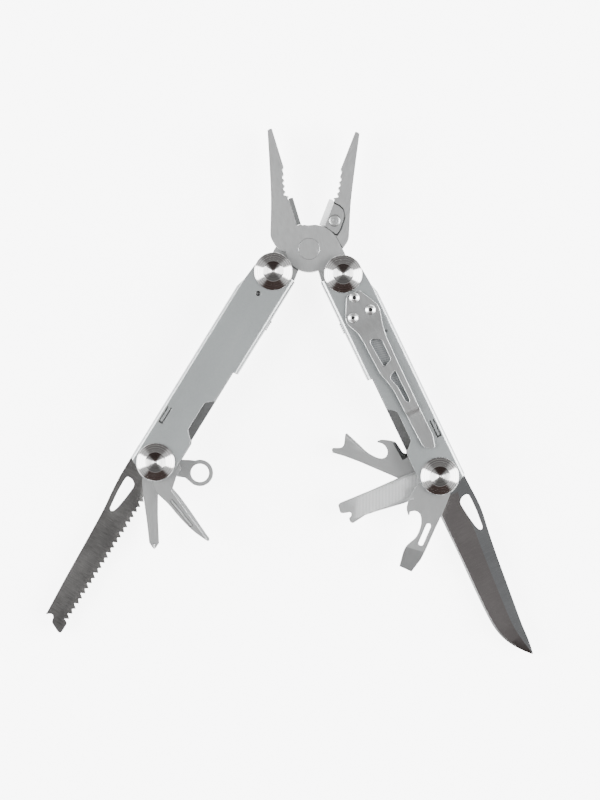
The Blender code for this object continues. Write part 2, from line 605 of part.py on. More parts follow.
def main():
    start()
    finishes = {
        "plate": steel("beadblasted_steel", (0.36, 0.38, 0.38), 0.45),
        "jaw": steel("jaw_steel", (0.38, 0.40, 0.39), 0.42),
        "tool": steel("satin_tool_steel", (0.42, 0.44, 0.45), 0.38),
        "saw": steel("brushed_dark_steel", (0.16, 0.16, 0.16), 0.35),
        "knife": steel("polished_blade_steel", (0.20, 0.19, 0.19), 0.22),
        "rosette": steel("turned_bright_steel", (0.72, 0.72, 0.72), 0.18),
        "screw": steel("bright_steel", (0.55, 0.56, 0.56), 0.28),
    }
    base = frame("tool_base", None, (0, 0, REST_HEIGHT))
    pliers(base, finishes)
    left_gaps = {"rear": (-3.8, -3.5), "middle": (-1.3, 1.0), "front": (3.6, 3.8)}
    right_gaps = {"rear": (-3.8, -3.6), "middle": (-1.2, -1.0), "front": (1.6, 3.6)}
    left = handle("left", 1, base, LEFT_TILT, finishes, left_gaps)
    right = handle("right", -1, base, RIGHT_TILT, finishes, right_gaps)
    tools(left, right, finishes)
    pocket_clip(-1, right, finishes)
    stand_on_middle(base)


main()
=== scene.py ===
"""The opened plier multi tool, seen from straight above on a pale floor.

Pieces are drawn in millimetres in the frame of what they belong to, and placed from the record:
a plier half's closing line runs along +Y from the pivot, a handle's (u, v) run from its head axle
to its tool axle and towards the other handle, a tool's (a, c) run forward from its axle and to
its clockwise side.
"""

import json
import math

import bmesh
import bpy
from mathutils import Matrix, Vector

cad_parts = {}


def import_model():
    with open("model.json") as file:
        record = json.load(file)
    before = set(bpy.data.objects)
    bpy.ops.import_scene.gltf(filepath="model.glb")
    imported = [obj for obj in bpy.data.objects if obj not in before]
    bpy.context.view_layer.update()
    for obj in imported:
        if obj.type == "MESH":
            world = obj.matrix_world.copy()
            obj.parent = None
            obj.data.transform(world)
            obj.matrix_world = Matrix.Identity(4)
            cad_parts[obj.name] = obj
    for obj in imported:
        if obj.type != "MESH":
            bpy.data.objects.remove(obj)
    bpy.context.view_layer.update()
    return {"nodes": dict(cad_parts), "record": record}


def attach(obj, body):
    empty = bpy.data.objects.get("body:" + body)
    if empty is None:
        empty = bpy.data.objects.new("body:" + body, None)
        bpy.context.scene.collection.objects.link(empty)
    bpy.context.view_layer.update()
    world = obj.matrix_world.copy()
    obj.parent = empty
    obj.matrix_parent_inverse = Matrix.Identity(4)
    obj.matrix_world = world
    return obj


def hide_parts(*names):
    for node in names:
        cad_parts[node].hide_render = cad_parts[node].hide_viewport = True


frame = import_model()

MM = 0.001
LEFT_JAW_OPEN, RIGHT_JAW_OPEN = 17.0, 21.3     # degrees from the jaws' closing line
TILTS = {"left": -31.67, "right": 25.55}       # degrees that a handle is turned from -Y
SIDES = {"left": 1, "right": -1}
# degrees that each tool points, from +X
HEADINGS = {"awl": -56.2, "phillips_driver": -90.5, "lanyard_ring": -14.8, "saw_blade": -122.4,
            "bottle_opener": -110.2, "file": -158.1, "can_opener": 162.3, "knife_blade": -62.0}
AXLE_SPACING = 89.0
AXLE_BORE = 2.7                 # radius of the hole for a tool axle
HEAD_BORE = 3.2                 # and of the one for a head axle
PIN_HOLE = 4.27                 # and of the one for the plier pivot
TANG_END = (9.93, -13.74)       # a tang's head axle, seen from the pivot
CUTTER_SCREW = (-5.4, 14.2)     # a cutter's screw, seen from the pivot
HEAD_HALF = 3.6                 # half the thickness of the pliers
LAP_GAP = 0.15                  # between the two halves of the lap joint
PLATE_OUT, PLATE_IN = 7.6, 6.4  # a handle's outer and inner faces
HALF_WIDTH = 9.4                # of a handle
WALL = 1.2                      # the sheet's thickness
INSIDE = HALF_WIDTH - WALL
CAP_BASE = PLATE_OUT + 0.05
FLOOR_HALF = 3.0                # metres
FLOOR_GAP = 0.0002              # metres
CAMERA_HEIGHT = 1.1             # metres above the pivot
CAMERA_ASIDE = (-0.00364, -0.06028)     # metres beside it, in X and Y
VIEW_HEIGHT = 0.32              # metres that the picture spans at the pivot's level
SENSOR = 24.0                   # millimetres
GLOW = 5.5                      # the floor's own light, which keeps it near white
ROOM = {"near_end": (0.092, 0.062, 0.055, 1), "far_end": (0.310, 0.302, 0.298, 1),
        "sides": (1.0, 1.0, 1.0, 1), "overhead": (0.60, 0.60, 0.605, 1),
        "horizon": (0.6, 0.6, 0.6, 1)}
# name, place and size in metres, and power in watts
LIGHTS = (("left_box", (-1.15, 0.0, 0.60), (0.9, 1.6), 60.0),
          ("right_box", (1.15, 0.0, 0.60), (0.9, 1.6), 60.0))

joints = {j["name"]: j for j in frame["record"]["behaviour"]["joints"]}
PIVOT = Vector(joints["jaws_close"]["pos_m"])
HEAD_AXLES = {s: Vector(joints[s + "_handle_fold"]["pos_m"]) for s in SIDES}
TOOL_AXLES = {"left": Vector(joints["awl_swing"]["pos_m"]),
              "right": Vector(joints["file_swing"]["pos_m"])}


# ---------------------------------------------------------------- materials

class Nodes:
    """A short way to wire the node tree of a new material or world."""

    def __init__(self, made, last="Principled BSDF"):
        made.use_nodes = True
        self.made = made
        self.tree = made.node_tree
        self.shader = self.tree.nodes[last]

    def add(self, kind, inputs=None, **settings):
        """A new node with its settings, and its inputs set or linked."""
        node = self.tree.nodes.new(kind)
        for key, value in settings.items():
            setattr(node, key, value)
        for key, value in (inputs or {}).items():
            self.feed(node, key, value)
        return node

    def feed(self, node, key, value):
        """Link a socket to a node's input, or give the input a plain value."""
        if isinstance(value, bpy.types.NodeSocket):
            self.tree.links.new(value, node.inputs[key])
        else:
            node.inputs[key].default_value = value

    def math(self, operation, *values):
        return self.add("ShaderNodeMath", dict(enumerate(values)), operation=operation).outputs[0]

    def colour(self, level, tint):
        """The level times each part of a tint, as a colour."""
        parts = {i: self.math("MULTIPLY", level, part) for i, part in enumerate(tint)}
        return self.add("ShaderNodeCombineColor", parts).outputs[0]

    def blend(self, amount, a, b):
        return self.add("ShaderNodeMix", {0: amount, 6: a, 7: b}, data_type="RGBA").outputs[2]

    def place(self):
        """Position in the piece's own frame, in millimetres."""
        spot = self.add("ShaderNodeTexCoord").outputs["Object"]
        scaled = self.add("ShaderNodeVectorMath", {0: spot, "Scale": 1000.0}, operation="SCALE")
        return scaled.outputs[0]

    def axes(self, spot):
        return self.add("ShaderNodeSeparateXYZ", {0: spot}).outputs

    def noise(self, spot, stretch, scale, detail=3.0, rough=0.55):
        """Noise, finer along an axis the more it is stretched there."""
        moved = self.add("ShaderNodeVectorMath", {0: spot, 1: stretch}, operation="MULTIPLY")
        return self.add("ShaderNodeTexNoise", {"Vector": moved.outputs[0], "Scale": scale,
                                               "Detail": detail, "Roughness": rough}).outputs[0]

    def span(self, value, low, high, to_low=0.0, to_high=1.0, **settings):
        """The value between low and high, carried over to between to_low and to_high."""
        return self.add("ShaderNodeMapRange", {0: value, 1: low, 2: high, 3: to_low, 4: to_high},
                        **settings).outputs[0]

    def within(self, value, low, high, fade=0.6):
        """1 between low and high, and 0 outside them."""
        return self.math("MULTIPLY", self.span(value, low, low + fade),
                         self.span(value, high - fade, high, 1.0, 0.0))

    def bump(self, height, strength, distance=0.05):
        node = self.add("ShaderNodeBump", {"Height": height, "Strength": strength,
                                           "Distance": distance * MM})
        self.feed(self.shader, "Normal", node.outputs[0])


def grey(level):
    return (level, level, level, 1.0)


def metal(name, level, roughness, tint=(0.985, 1.0, 1.0), grain=(1, 1, 1), grain_scale=1.0,
          patch=0.10, bump=0.15):
    """Steel with uneven colour, a grain stretched along one way, and worn patches."""
    n = Nodes(bpy.data.materials.new(name))
    spot = n.place()
    patches = n.noise(spot, (1, 1, 1), 0.06, 4.0)
    lines = n.noise(spot, grain, grain_scale, 5.0, 0.7)
    tone = n.span(patches, 0.3, 0.7, 1.0 - patch, 1.0 + patch)
    fine = n.span(lines, 0.25, 0.75, 1.0 - patch, 1.0 + patch)
    level_here = n.math("MULTIPLY", n.math("MULTIPLY", tone, fine), level)
    n.feed(n.shader, "Base Color", n.colour(level_here, tint))
    n.feed(n.shader, "Metallic", 1.0)
    n.feed(n.shader, "Roughness", n.math("MULTIPLY", n.span(lines, 0.25, 0.75, 0.85, 1.15),
                                         roughness))
    n.bump(lines, bump)
    return n.made


# the plate's grey, the painted highlight on its bends, and the painted shade on its sides
FACE, BEND_HIGHLIGHT, SIDE_SHADE = (0.262, 0.277, 0.280, 1), (0.58, 0.60, 0.60, 1), (0.15, 0.155, 0.16, 1)
# painted shade under the clip: two darker greys for its hatch lines
SHADE_HATCH = ((0.165, 0.172, 0.178, 1), (0.26, 0.272, 0.276, 1))


def plate_material(name, shade_box=None):
    """Bead-blasted sheet: fine pits and even grey, a painted highlight on its smoother bends,
    and painted shade on its sides.

    The optional box (x low, x high, y low, y high) is the part under the clip that gets painted
    shade, crossed by hatch lines.
    """
    n = Nodes(bpy.data.materials.new(name))
    spot = n.place()
    x, y, z = n.axes(spot)
    pits = n.noise(spot, (1, 1, 1), 3.2, 2.0, 0.6)
    cloud = n.noise(spot, (1, 0.35, 1), 0.05, 3.0)
    level = n.math("MULTIPLY", n.span(cloud, 0.3, 0.7, 0.93, 1.07),
                   n.span(pits, 0.3, 0.7, 0.94, 1.06))
    wide = n.math("ABSOLUTE", x)
    # painted highlight along the bends, which are also made smoother below
    bend = n.span(n.math("ADD", wide, n.math("MULTIPLY", pits, 0.25)), HALF_WIDTH - 1.35,
                  HALF_WIDTH - 1.0)
    face = n.blend(bend, FACE, BEND_HIGHLIGHT)
    # painted shade on the sides below the face
    face = n.blend(n.span(n.math("ABSOLUTE", z), 7.25, 6.85), face, SIDE_SHADE)
    # painted shade in the box under the clip, with hatch lines between two darker greys
    if shade_box:
        shaded = n.math("MULTIPLY", n.within(x, *shade_box[:2]), n.within(y, *shade_box[2:]))
        aslant = n.math("ADD", x, n.math("MULTIPLY", y, 1.4))
        hatch = n.math("SINE", n.math("MULTIPLY", aslant, 5.2))
        face = n.blend(shaded, face, n.blend(n.span(hatch, -1.0, 1.0), *SHADE_HATCH))
    tone = n.add("ShaderNodeCombineColor", {0: level, 1: level, 2: level})
    mixed = n.add("ShaderNodeMix", {0: 1.0}, data_type="RGBA", blend_type="MULTIPLY")
    n.feed(mixed, 6, face)
    n.feed(mixed, 7, tone.outputs[0])
    n.feed(n.shader, "Base Color", mixed.outputs[2])
    n.feed(n.shader, "Metallic", 1.0)
    n.feed(n.shader, "Roughness", n.span(bend, 0.0, 1.0, 0.50, 0.26))
    n.bump(pits, 0.25, 0.06)
    return n.made


def turned_material():
    """Bright lathe-turned steel: rings, a dish with painted shade, and highlights drawn out by
    turning.
    """
    n = Nodes(bpy.data.materials.new("turned_steel"))
    spot = n.place()
    x, y, _ = n.axes(spot)
    radius = n.math("SQRT", n.math("ADD", n.math("MULTIPLY", x, x), n.math("MULTIPLY", y, y)))
    cloud = n.noise(spot, (1, 1, 1), 0.15, 2.0)
    marks = n.add("ShaderNodeTexNoise", {"W": n.math("MULTIPLY", radius, 2.3), "Scale": 1.0,
                                         "Detail": 2.0, "Roughness": 0.6},
                  noise_dimensions="1D").outputs[0]
    lip = n.within(radius, 3.6, 4.5, 0.15)
    level = n.math("MULTIPLY", n.span(marks, 0.30, 0.70, 0.70, 1.14),
                   n.span(cloud, 0.3, 0.7, 0.95, 1.05))
    # painted shade: the dish between the centre and the outer cone is darkened
    dish_shade = n.math("MINIMUM", n.span(radius, 0.9, 1.8), n.span(radius, 3.8, 4.0, 1.0, 0.0))
    level = n.math("MULTIPLY", level, n.span(dish_shade, 0.0, 1.0, 1.0, 0.60))
    n.feed(n.shader, "Base Color", n.colour(level, (0.55, 0.545, 0.54)))
    n.feed(n.shader, "Metallic", 1.0)
    n.feed(n.shader, "Roughness", n.span(lip, 0.0, 1.0, 0.16, 0.13))
    n.shader.inputs["Anisotropic"].default_value = 0.78
    n.shader.inputs["Anisotropic Rotation"].default_value = 0.25
    tangent = n.add("ShaderNodeTangent", direction_type="RADIAL", axis="Z")
    n.feed(n.shader, "Tangent", tangent.outputs[0])
    return n.made


# where the right handle's plate gets painted shade under the clip
CLIP_SHADE_BOX = (-2.6, 4.0, -58.0, -26.5)
METALS = {       # each level is set so that its surface renders as grey as in the photograph
    "plate": plate_material("blasted_plate"),
    "plate_clip_shade": plate_material("blasted_plate_clip", CLIP_SHADE_BOX),
    # painted highlight: the bright rounded edges of the plates and the clip, and a line on the awl
    "highlight_paint": metal("highlight_painted_steel", 0.62, 0.40, patch=0.08),
    # painted shade on the tools' rounded edges
    "rim": metal("rim_shade_steel", 0.09, 0.40, patch=0.10),
    # low level: painted dark reflection on the knife's flat
    "spine": metal("blade_flat_steel", 0.245, 0.20, tint=(0.96, 0.98, 1.0), grain=(2.2, 0.08, 1.0),
                   grain_scale=2.0, patch=0.10, bump=0.08),
    "turned": turned_material(),
    "jaw": metal("jaw_steel", 0.40, 0.42, grain=(1.0, 0.12, 1.0), grain_scale=2.2, patch=0.05),
    "tool": metal("satin_tool_steel", 0.44, 0.36, grain=(0.12, 2.4, 1.0), grain_scale=1.6,
                  patch=0.04),
    # painted shade on the faces turned into the channel
    "inside": metal("inside_shade_steel", 0.17, 0.50, patch=0.10),
    # painted dark reflection on the can opener's ground bevels
    "edge": metal("ground_edge_dark_reflection", 0.30, 0.34, patch=0.15),
    "tip": metal("ground_tip_steel", 0.33, 0.33, grain=(0.12, 2.4, 1.0), grain_scale=2.0,
                 patch=0.06),
    # painted dark reflection on the front wire cutter's steep bevel
    "bevelled": metal("cutter_bevel_dark_reflection", 0.10, 0.34, grain=(2.0, 0.2, 1.0), grain_scale=2.0,
                      patch=0.06),
    "rivet": metal("rivet_steel", 0.08, 0.35, patch=0.2),
    "cutter": metal("cutter_steel", 0.41, 0.40, grain=(2.0, 0.2, 1.0), grain_scale=2.0,
                    patch=0.06),
    "file": metal("file_steel", 0.50, 0.38, grain=(0.5, 1.0, 1.0), grain_scale=2.0, patch=0.07),
    # low level: painted dark reflection on the saw
    "saw": metal("brushed_dark_steel", 0.155, 0.30, tint=(1.0, 0.98, 0.96), grain=(2.6, 0.10, 1.0),
                 grain_scale=2.4, patch=0.30, bump=0.3),
    "inner": metal("inner_steel", 0.30, 0.40, patch=0.10),
    # low level: painted dark reflection on the knife's ground faces
    "knife": metal("polished_blade_steel", 0.215, 0.20, tint=(1.0, 0.93, 0.915),
                   grain=(2.2, 0.08, 1.0), grain_scale=2.0, patch=0.10, bump=0.08),
    "clip": metal("clip_steel", 0.37, 0.36, grain=(1.5, 0.1, 1.0), grain_scale=2.0,
                  patch=0.05),
    "dome": metal("dome_steel", 0.80, 0.32, patch=0.04),
    "socket": metal("socket_shadow", 0.05, 0.5, patch=0.2),
}


for dark in ("bevelled", "rim", "edge"):    # these keep dark where they are seen edge on
    METALS[dark].node_tree.nodes["Principled BSDF"].inputs["Specular Tint"].default_value = grey(0.1)


# ---------------------------------------------------------------- shapes

def arc(x, y, radius, first, last, steps):
    """Points on an arc, angles in degrees, both ends included."""
    angles = [math.radians(first + (last - first) * i / steps) for i in range(steps + 1)]
    return [(x + radius * math.cos(t), y + radius * math.sin(t)) for t in angles]


def rounded(points, radius, steps=4, keep=()):
    """The closed outline with its corners rounded, but the ones whose numbers are in keep."""
    out = []
    count = len(points)
    for i, here in enumerate(points):
        before, after = Vector(points[i - 1]), Vector(points[(i + 1) % count])
        corner = Vector(here)
        back, forward = before - corner, after - corner
        if i in keep or back.length < 1e-6 or forward.length < 1e-6:
            out.append(tuple(corner))
            continue
        reach = min(radius, 0.42 * back.length, 0.42 * forward.length)
        start, end = corner + back.normalized() * reach, corner + forward.normalized() * reach
        for j in range(steps + 1):
            t = j / steps
            spot = start * (1 - t) ** 2 + corner * 2 * t * (1 - t) + end * t * t
            out.append(tuple(spot))
    return out


def smooth_line(points, steps=6):
    """An open line through the points, with soft turns (Catmull-Rom)."""
    out = []
    ends = [points[0]] + list(points) + [points[-1]]
    for p0, p1, p2, p3 in zip(ends, ends[1:], ends[2:], ends[3:]):
        for j in range(steps):
            t = j / steps
            out.append(tuple(0.5 * (2 * b + (c - a) * t + (2 * a - 5 * b + 4 * c - d) * t * t
                                    + (3 * b - a - 3 * c + d) * t ** 3)
                             for a, b, c, d in zip(p0, p1, p2, p3)))
    return out + [tuple(points[-1])]


def put(name, data):
    """A new object in the scene."""
    thing = bpy.data.objects.new(name, data)
    bpy.context.scene.collection.objects.link(thing)
    return thing


def prism(outline, low, high, holes=()):
    """A flat outline with holes from low to high, as a closed mesh."""
    curve = bpy.data.curves.new("outline", "CURVE")
    curve.dimensions = "2D"
    curve.fill_mode = "BOTH"
    curve.extrude = (high - low) / 2 * MM
    for loop in (outline, *holes):
        spline = curve.splines.new("POLY")
        spline.points.add(len(loop) - 1)
        spline.use_cyclic_u = True
        for point, (x, y) in zip(spline.points, loop):
            point.co = (x * MM, y * MM, 0.0, 1.0)
    holder = put("outline", curve)
    graph = bpy.context.evaluated_depsgraph_get()
    mesh = bpy.data.meshes.new_from_object(holder.evaluated_get(graph))
    bpy.data.objects.remove(holder)
    bpy.data.curves.remove(curve)
    work = bmesh.new()
    work.from_mesh(mesh)
    bmesh.ops.remove_doubles(work, verts=work.verts, dist=0.0005 * MM)
    bmesh.ops.translate(work, verts=work.verts, vec=(0, 0, (low + high) / 2 * MM))
    bmesh.ops.dissolve_limit(work, angle_limit=0.001, verts=work.verts, edges=work.edges)
    bmesh.ops.recalc_face_normals(work, faces=work.faces)
    work.to_mesh(mesh)
    work.free()
    return mesh


def block(x0, x1, y0, y1, z0, z1):
    """A box between two corners, in either order."""
    mesh = bpy.data.meshes.new("block")
    work = bmesh.new()
    bmesh.ops.create_cube(work, size=1.0)
    size = Vector((abs(x1 - x0), abs(y1 - y0), abs(z1 - z0))) * MM
    bmesh.ops.scale(work, vec=size, verts=work.verts)
    bmesh.ops.translate(work, vec=Vector((x0 + x1, y0 + y1, z0 + z1)) * MM / 2, verts=work.verts)
    work.to_mesh(mesh)
    work.free()
    return mesh


def rod(x, y, radius, low, high, sides=48):
    """A round rod along Z, used only to cut with."""
    mesh = bpy.data.meshes.new("rod")
    work = bmesh.new()
    bmesh.ops.create_cone(work, cap_ends=True, segments=sides, radius1=radius * MM,
                          radius2=radius * MM, depth=(high - low) * MM)
    bmesh.ops.translate(work, vec=Vector((x, y, (low + high) / 2)) * MM, verts=work.verts)
    work.to_mesh(mesh)
    work.free()
    return mesh


def spun(profile, steps=96):
    """A profile of (radius, height) turned about Z. Points on the axis are merged."""
    mesh = bpy.data.meshes.new("spun")
    work = bmesh.new()
    rings = []
    for i in range(steps):
        t = 2 * math.pi * i / steps
        rings.append([work.verts.new((r * MM * math.cos(t), r * MM * math.sin(t), h * MM))
                      for r, h in profile])
    for i in range(steps):
        here, there = rings[i], rings[(i + 1) % steps]
        for j in range(len(profile) - 1):
            work.faces.new((here[j], here[j + 1], there[j + 1], there[j]))
    bmesh.ops.remove_doubles(work, verts=work.verts, dist=0.0001 * MM)
    bmesh.ops.recalc_face_normals(work, faces=work.faces)
    work.to_mesh(mesh)
    work.free()
    return mesh


def carve(mesh, cutters, operation="DIFFERENCE"):
    """The mesh after cutting it with each of the others in turn."""
    thing = put("carved", mesh)
    helpers = [put("cutter", cutter) for cutter in cutters]
    for helper in helpers:
        boolean = thing.modifiers.new("cut", "BOOLEAN")
        boolean.operation = operation
        boolean.solver = "EXACT"
        boolean.object = helper
    graph = bpy.context.evaluated_depsgraph_get()
    result = bpy.data.meshes.new_from_object(thing.evaluated_get(graph))
    for other in (thing, *helpers):
        bpy.data.objects.remove(other)
    return result


def clean(mesh):
    """Flat faces made whole again, so that a bevel runs evenly along their edges."""
    work = bmesh.new()
    work.from_mesh(mesh)
    bmesh.ops.remove_doubles(work, verts=work.verts, dist=0.002 * MM)
    bmesh.ops.dissolve_limit(work, angle_limit=math.radians(0.5), verts=work.verts,
                             edges=work.edges)
    work.to_mesh(mesh)
    work.free()
    return mesh


def piece(name, mesh, body, where, material, edge=0.0, stands_for=(), segments=3,
          limit=32.0, smooth=32.0, paint=None, rim=None, tight=False):
    """Put a mesh in its place, round its edges, and let it ride on its body.

    paint gives a face's material number from its middle in millimetres and its normal; rim is
    the material of the rounded edges, which stay narrow beside short edges if tight.
    """
    thing = put(name, mesh)
    mesh.materials.clear()
    for one in material if isinstance(material, (list, tuple)) else (material,):
        mesh.materials.append(one)
    if paint:
        for face in mesh.polygons:
            face.material_index = paint(face.center / MM, face.normal)
    mesh.shade_smooth()
    mesh.set_sharp_from_angle(angle=math.radians(smooth))
    if edge:
        bevel = thing.modifiers.new("edge", "BEVEL")
        bevel.width = edge * MM
        bevel.segments = segments
        bevel.limit_method = "ANGLE"
        bevel.angle_limit = math.radians(limit)
        bevel.harden_normals = True
        bevel.miter_outer = "MITER_ARC"
        if rim:
            bevel.use_clamp_overlap = tight
            mesh.materials.append(rim)
            bevel.material = len(mesh.materials) - 1
    thing.matrix_world = where
    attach(thing, body)
    if stands_for:
        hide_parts(*stands_for)


def spot_frame(position, turn, flip=False):
    """A matrix at a place, turned in degrees about Z, or turned over about Y first."""
    where = Matrix.Translation(position) @ Matrix.Rotation(math.radians(turn), 4, "Z")
    return where @ Matrix.Rotation(math.pi, 4, "Y") if flip else where


FRONT = spot_frame(PIVOT, LEFT_JAW_OPEN)
REAR = spot_frame(PIVOT, -RIGHT_JAW_OPEN, flip=True)
HANDLES = {s: spot_frame(HEAD_AXLES[s], TILTS[s]) for s in SIDES}


# ---------------------------------------------------------------- pliers

def jaw_outline():
    """One forging, with the jaws' closing line along +Y: jaw at the left, tang at the right."""
    teeth = []
    for i in range(4):
        along, depth = 24.6 + 2.25 * i, 2.75 - 0.45 * i
        teeth += [(-depth - 0.65, along - 1.1), (-depth - 0.45, along - 0.7),
                  (-depth + 0.4, along)]
    inner = [(0.3, 9.5), (-0.15, 10.3), (-0.15, 22.0), (-1.6, 22.3)]
    grip = [(-1.0, 33.3), (-0.15, 34.2)]
    for i in range(20):
        along = 34.6 + 0.75 * i
        grip += [(-0.15, along), (-0.30, along + 0.25), (-0.15, along + 0.5)]
    tip = [(-0.15, 50.0), (-0.5, 50.3), (-1.3, 50.32), (-2.1, 50.0)]
    back = smooth_line([(-2.1, 50.0), (-5.0, 38.0), (-8.6, 24.0), (-12.0, 13.4), (-13.2, 9.5),
                        (-12.9, 6.8), (-12.0, 4.0), (-10.6, 2.4)], 5)[1:]
    disc = arc(0, 0, 9.3, 170, 266, 40)
    lug = [(0.95, -9.3), (0.95, -13.88), (3.3, -13.5)]
    lobe = arc(*TANG_END, 6.7, 180, 395, 60)
    neck = smooth_line([(13.2, -7.0), (12.9, -4.5), (12.4, -2.6), (11.4, 2.1), (8.7, 6.2),
                        (5.2, 8.5)], 6)
    return inner + teeth + grip + tip + back + disc + lug + lobe + neck


def lap_cutter():
    """The part of a forging's rear half that makes way for the other forging's disc."""
    root = smooth_line([(0.6, 10.9), (-3.0, 10.5), (-7.7, 8.9), (-11.5, 5.9), (-15.0, 4.2)], 6)
    below = smooth_line([(-4.0, -11.0), (0.0, -9.9), (3.5, -9.25), (6.5, -7.3), (8.5, -6.8),
                         (20.0, -6.8)], 5)
    return root + [(-15.0, -15.0)] + below + [(20.0, 10.9)]


def insert_outline(grow=0.0):
    """The wire cutter, or the pocket around it if it grows."""
    edge = [(-0.15 + grow * 3, 10.6 - grow), (-0.15 + grow * 3, 21.7 + grow)]
    top = [(-1.9, 21.7 + grow), (-2.6, 20.3 + grow), (-5.0, 20.2 + grow), (-7.1, 19.3 + grow)]
    side = [(-8.4 - grow, 17.0), (-8.7 - grow, 12.0), (-8.1 - grow, 9.3 - grow)]
    return rounded(edge + top + side + [(-5.4, 10.0 - grow), (-2.6, 10.7 - grow)], 0.6, 4, (0, 1))


def across(section, low, high):
    """A section drawn in X and Z, carried along Y."""
    mesh = prism(section, low, high)
    mesh.transform(Matrix.Rotation(math.pi / 2, 4, "X"))
    mesh.transform(Matrix.Translation((0, (low + high) * MM, 0)))
    return mesh


def mirror_z(mesh):
    """A copy turned over through the level plane at height 0."""
    copy = mesh.copy()
    copy.transform(Matrix.Scale(-1, 4, (0, 0, 1)))
    copy.flip_normals()
    return copy


def jaw_half(word, where, body):
    """The forging, its wire cutter and the cutter's screw."""
    mesh = prism(jaw_outline(), -HEAD_HALF, HEAD_HALF)
    cutters = [prism(lap_cutter(), -HEAD_HALF - 1, LAP_GAP), rod(0, 0, PIN_HOLE, -6, 6, 96),
               rod(*TANG_END, HEAD_BORE, -6, 6), prism(insert_outline(0.60), -6, 0.3),
               block(-2.25, 1, 10.3, 22.4, -6, 6)]
    mesh = clean(carve(mesh, cutters))
    piece(word + "_jaw_forging", mesh, body, where, METALS["jaw"], 0.16,
          [word + "_jaw"], 3)
    insert = prism(insert_outline(), -6, 6)
    section = [(-0.15, 0.0), (-2.55, HEAD_HALF - 0.05), (-9.5, HEAD_HALF - 0.05), (-9.5, LAP_GAP),
               (-2.2, LAP_GAP), (-2.2, -HEAD_HALF + 0.05), (-1.95, -HEAD_HALF + 0.05)]
    insert = carve(insert, [mirror_z(across(section, 5, 30))], "INTERSECT")
    insert = clean(carve(insert, [rod(*CUTTER_SCREW, 2.4, -6, 6)]))
    # the front cutter's bevel is painted dark, standing in for its dark reflection
    flank = METALS["bevelled"] if word == "front" else METALS["tip"]
    piece(word + "_wire_cutter", insert, body, where, [METALS["cutter"], flank], 0.12,
          [word + "_cutter_insert"], 2,
          paint=lambda at, way: int(at.x > -2.0 and 0.1 < abs(way.z) < 0.9))
    head = [(0.0, 0.35), (1.3, 0.34), (1.9, 0.27), (2.2, 0.12), (2.3, -0.05), (2.3, -2.6),
            (0.0, -2.6)]
    screw = carve(spun(head, 48), [rod(0, 0, 0.75, 0.05, 2.0, 6)])
    at = where @ Matrix.Translation(Vector((*CUTTER_SCREW, -HEAD_HALF)) * MM)
    piece(word + "_wire_cutter_screw", clean(screw), body, at @ Matrix.Rotation(math.pi, 4, "X"),
          METALS["cutter"], 0.05, [word + "_cutter_screw"], 2)


jaw_half("front", FRONT, "front_half")
jaw_half("rear", REAR, "rear_half")
pin = [(0.0, 3.60), (4.12, 3.60), (4.19, 3.56), (4.20, 3.50), (4.20, -3.50), (4.19, -3.56),
       (4.12, -3.60), (0.0, -3.60)]
piece("pivot_pin_turned", spun(pin), "pivot_pin", FRONT, METALS["jaw"], 0.0,
      ["plier_pivot_pin"], smooth=15.0)


# ---------------------------------------------------------------- handles

def place(side, points):
    """(u, v) points of a handle in its own X and Y."""
    return [(side * v, -u) for u, v in points]


def along(side, u0, u1, v0, v1, z0, z1):
    """A block given in a handle's u and v."""
    return block(side * v0, side * v1, -u1, -u0, z0, z1)


def plate_outline():
    """A handle from above, in (u, v)."""
    tail = AXLE_SPACING
    head_end = [(-p[1], p[0]) for p in arc(0, 0, 7.4, 25, 160, 40)]
    outer = [(2.0, -7.7), (8.6, -8.3), (12.4, -HALF_WIDTH), (92.4, -HALF_WIDTH), (92.9, -8.6)]
    tail_end = [(tail - p[1], p[0]) for p in arc(0, 0, 7.9, -140, -10, 40)]
    inner = [(84.0, 8.0), (76.0, 8.0), (74.6, 7.3), (42.6, 7.3), (42.6, 8.6), (42.3, HALF_WIDTH)]
    return head_end + outer + tail_end + inner + [(-0.9, HALF_WIDTH), (-0.9, 7.4)]


def bar(side):
    """A rounded bar as long as a handle, for its bends."""
    mesh = along(side, -9, AXLE_SPACING + 10, -HALF_WIDTH, HALF_WIDTH, -PLATE_OUT, PLATE_OUT)
    work = bmesh.new()
    work.from_mesh(mesh)
    lengths = [e for e in work.edges if abs(e.verts[0].co.y - e.verts[1].co.y) > 0.05]
    bmesh.ops.bevel(work, geom=lengths, offset=1.6 * MM, segments=8, profile=0.5,
                    affect="EDGES")
    work.to_mesh(mesh)
    work.free()
    return mesh


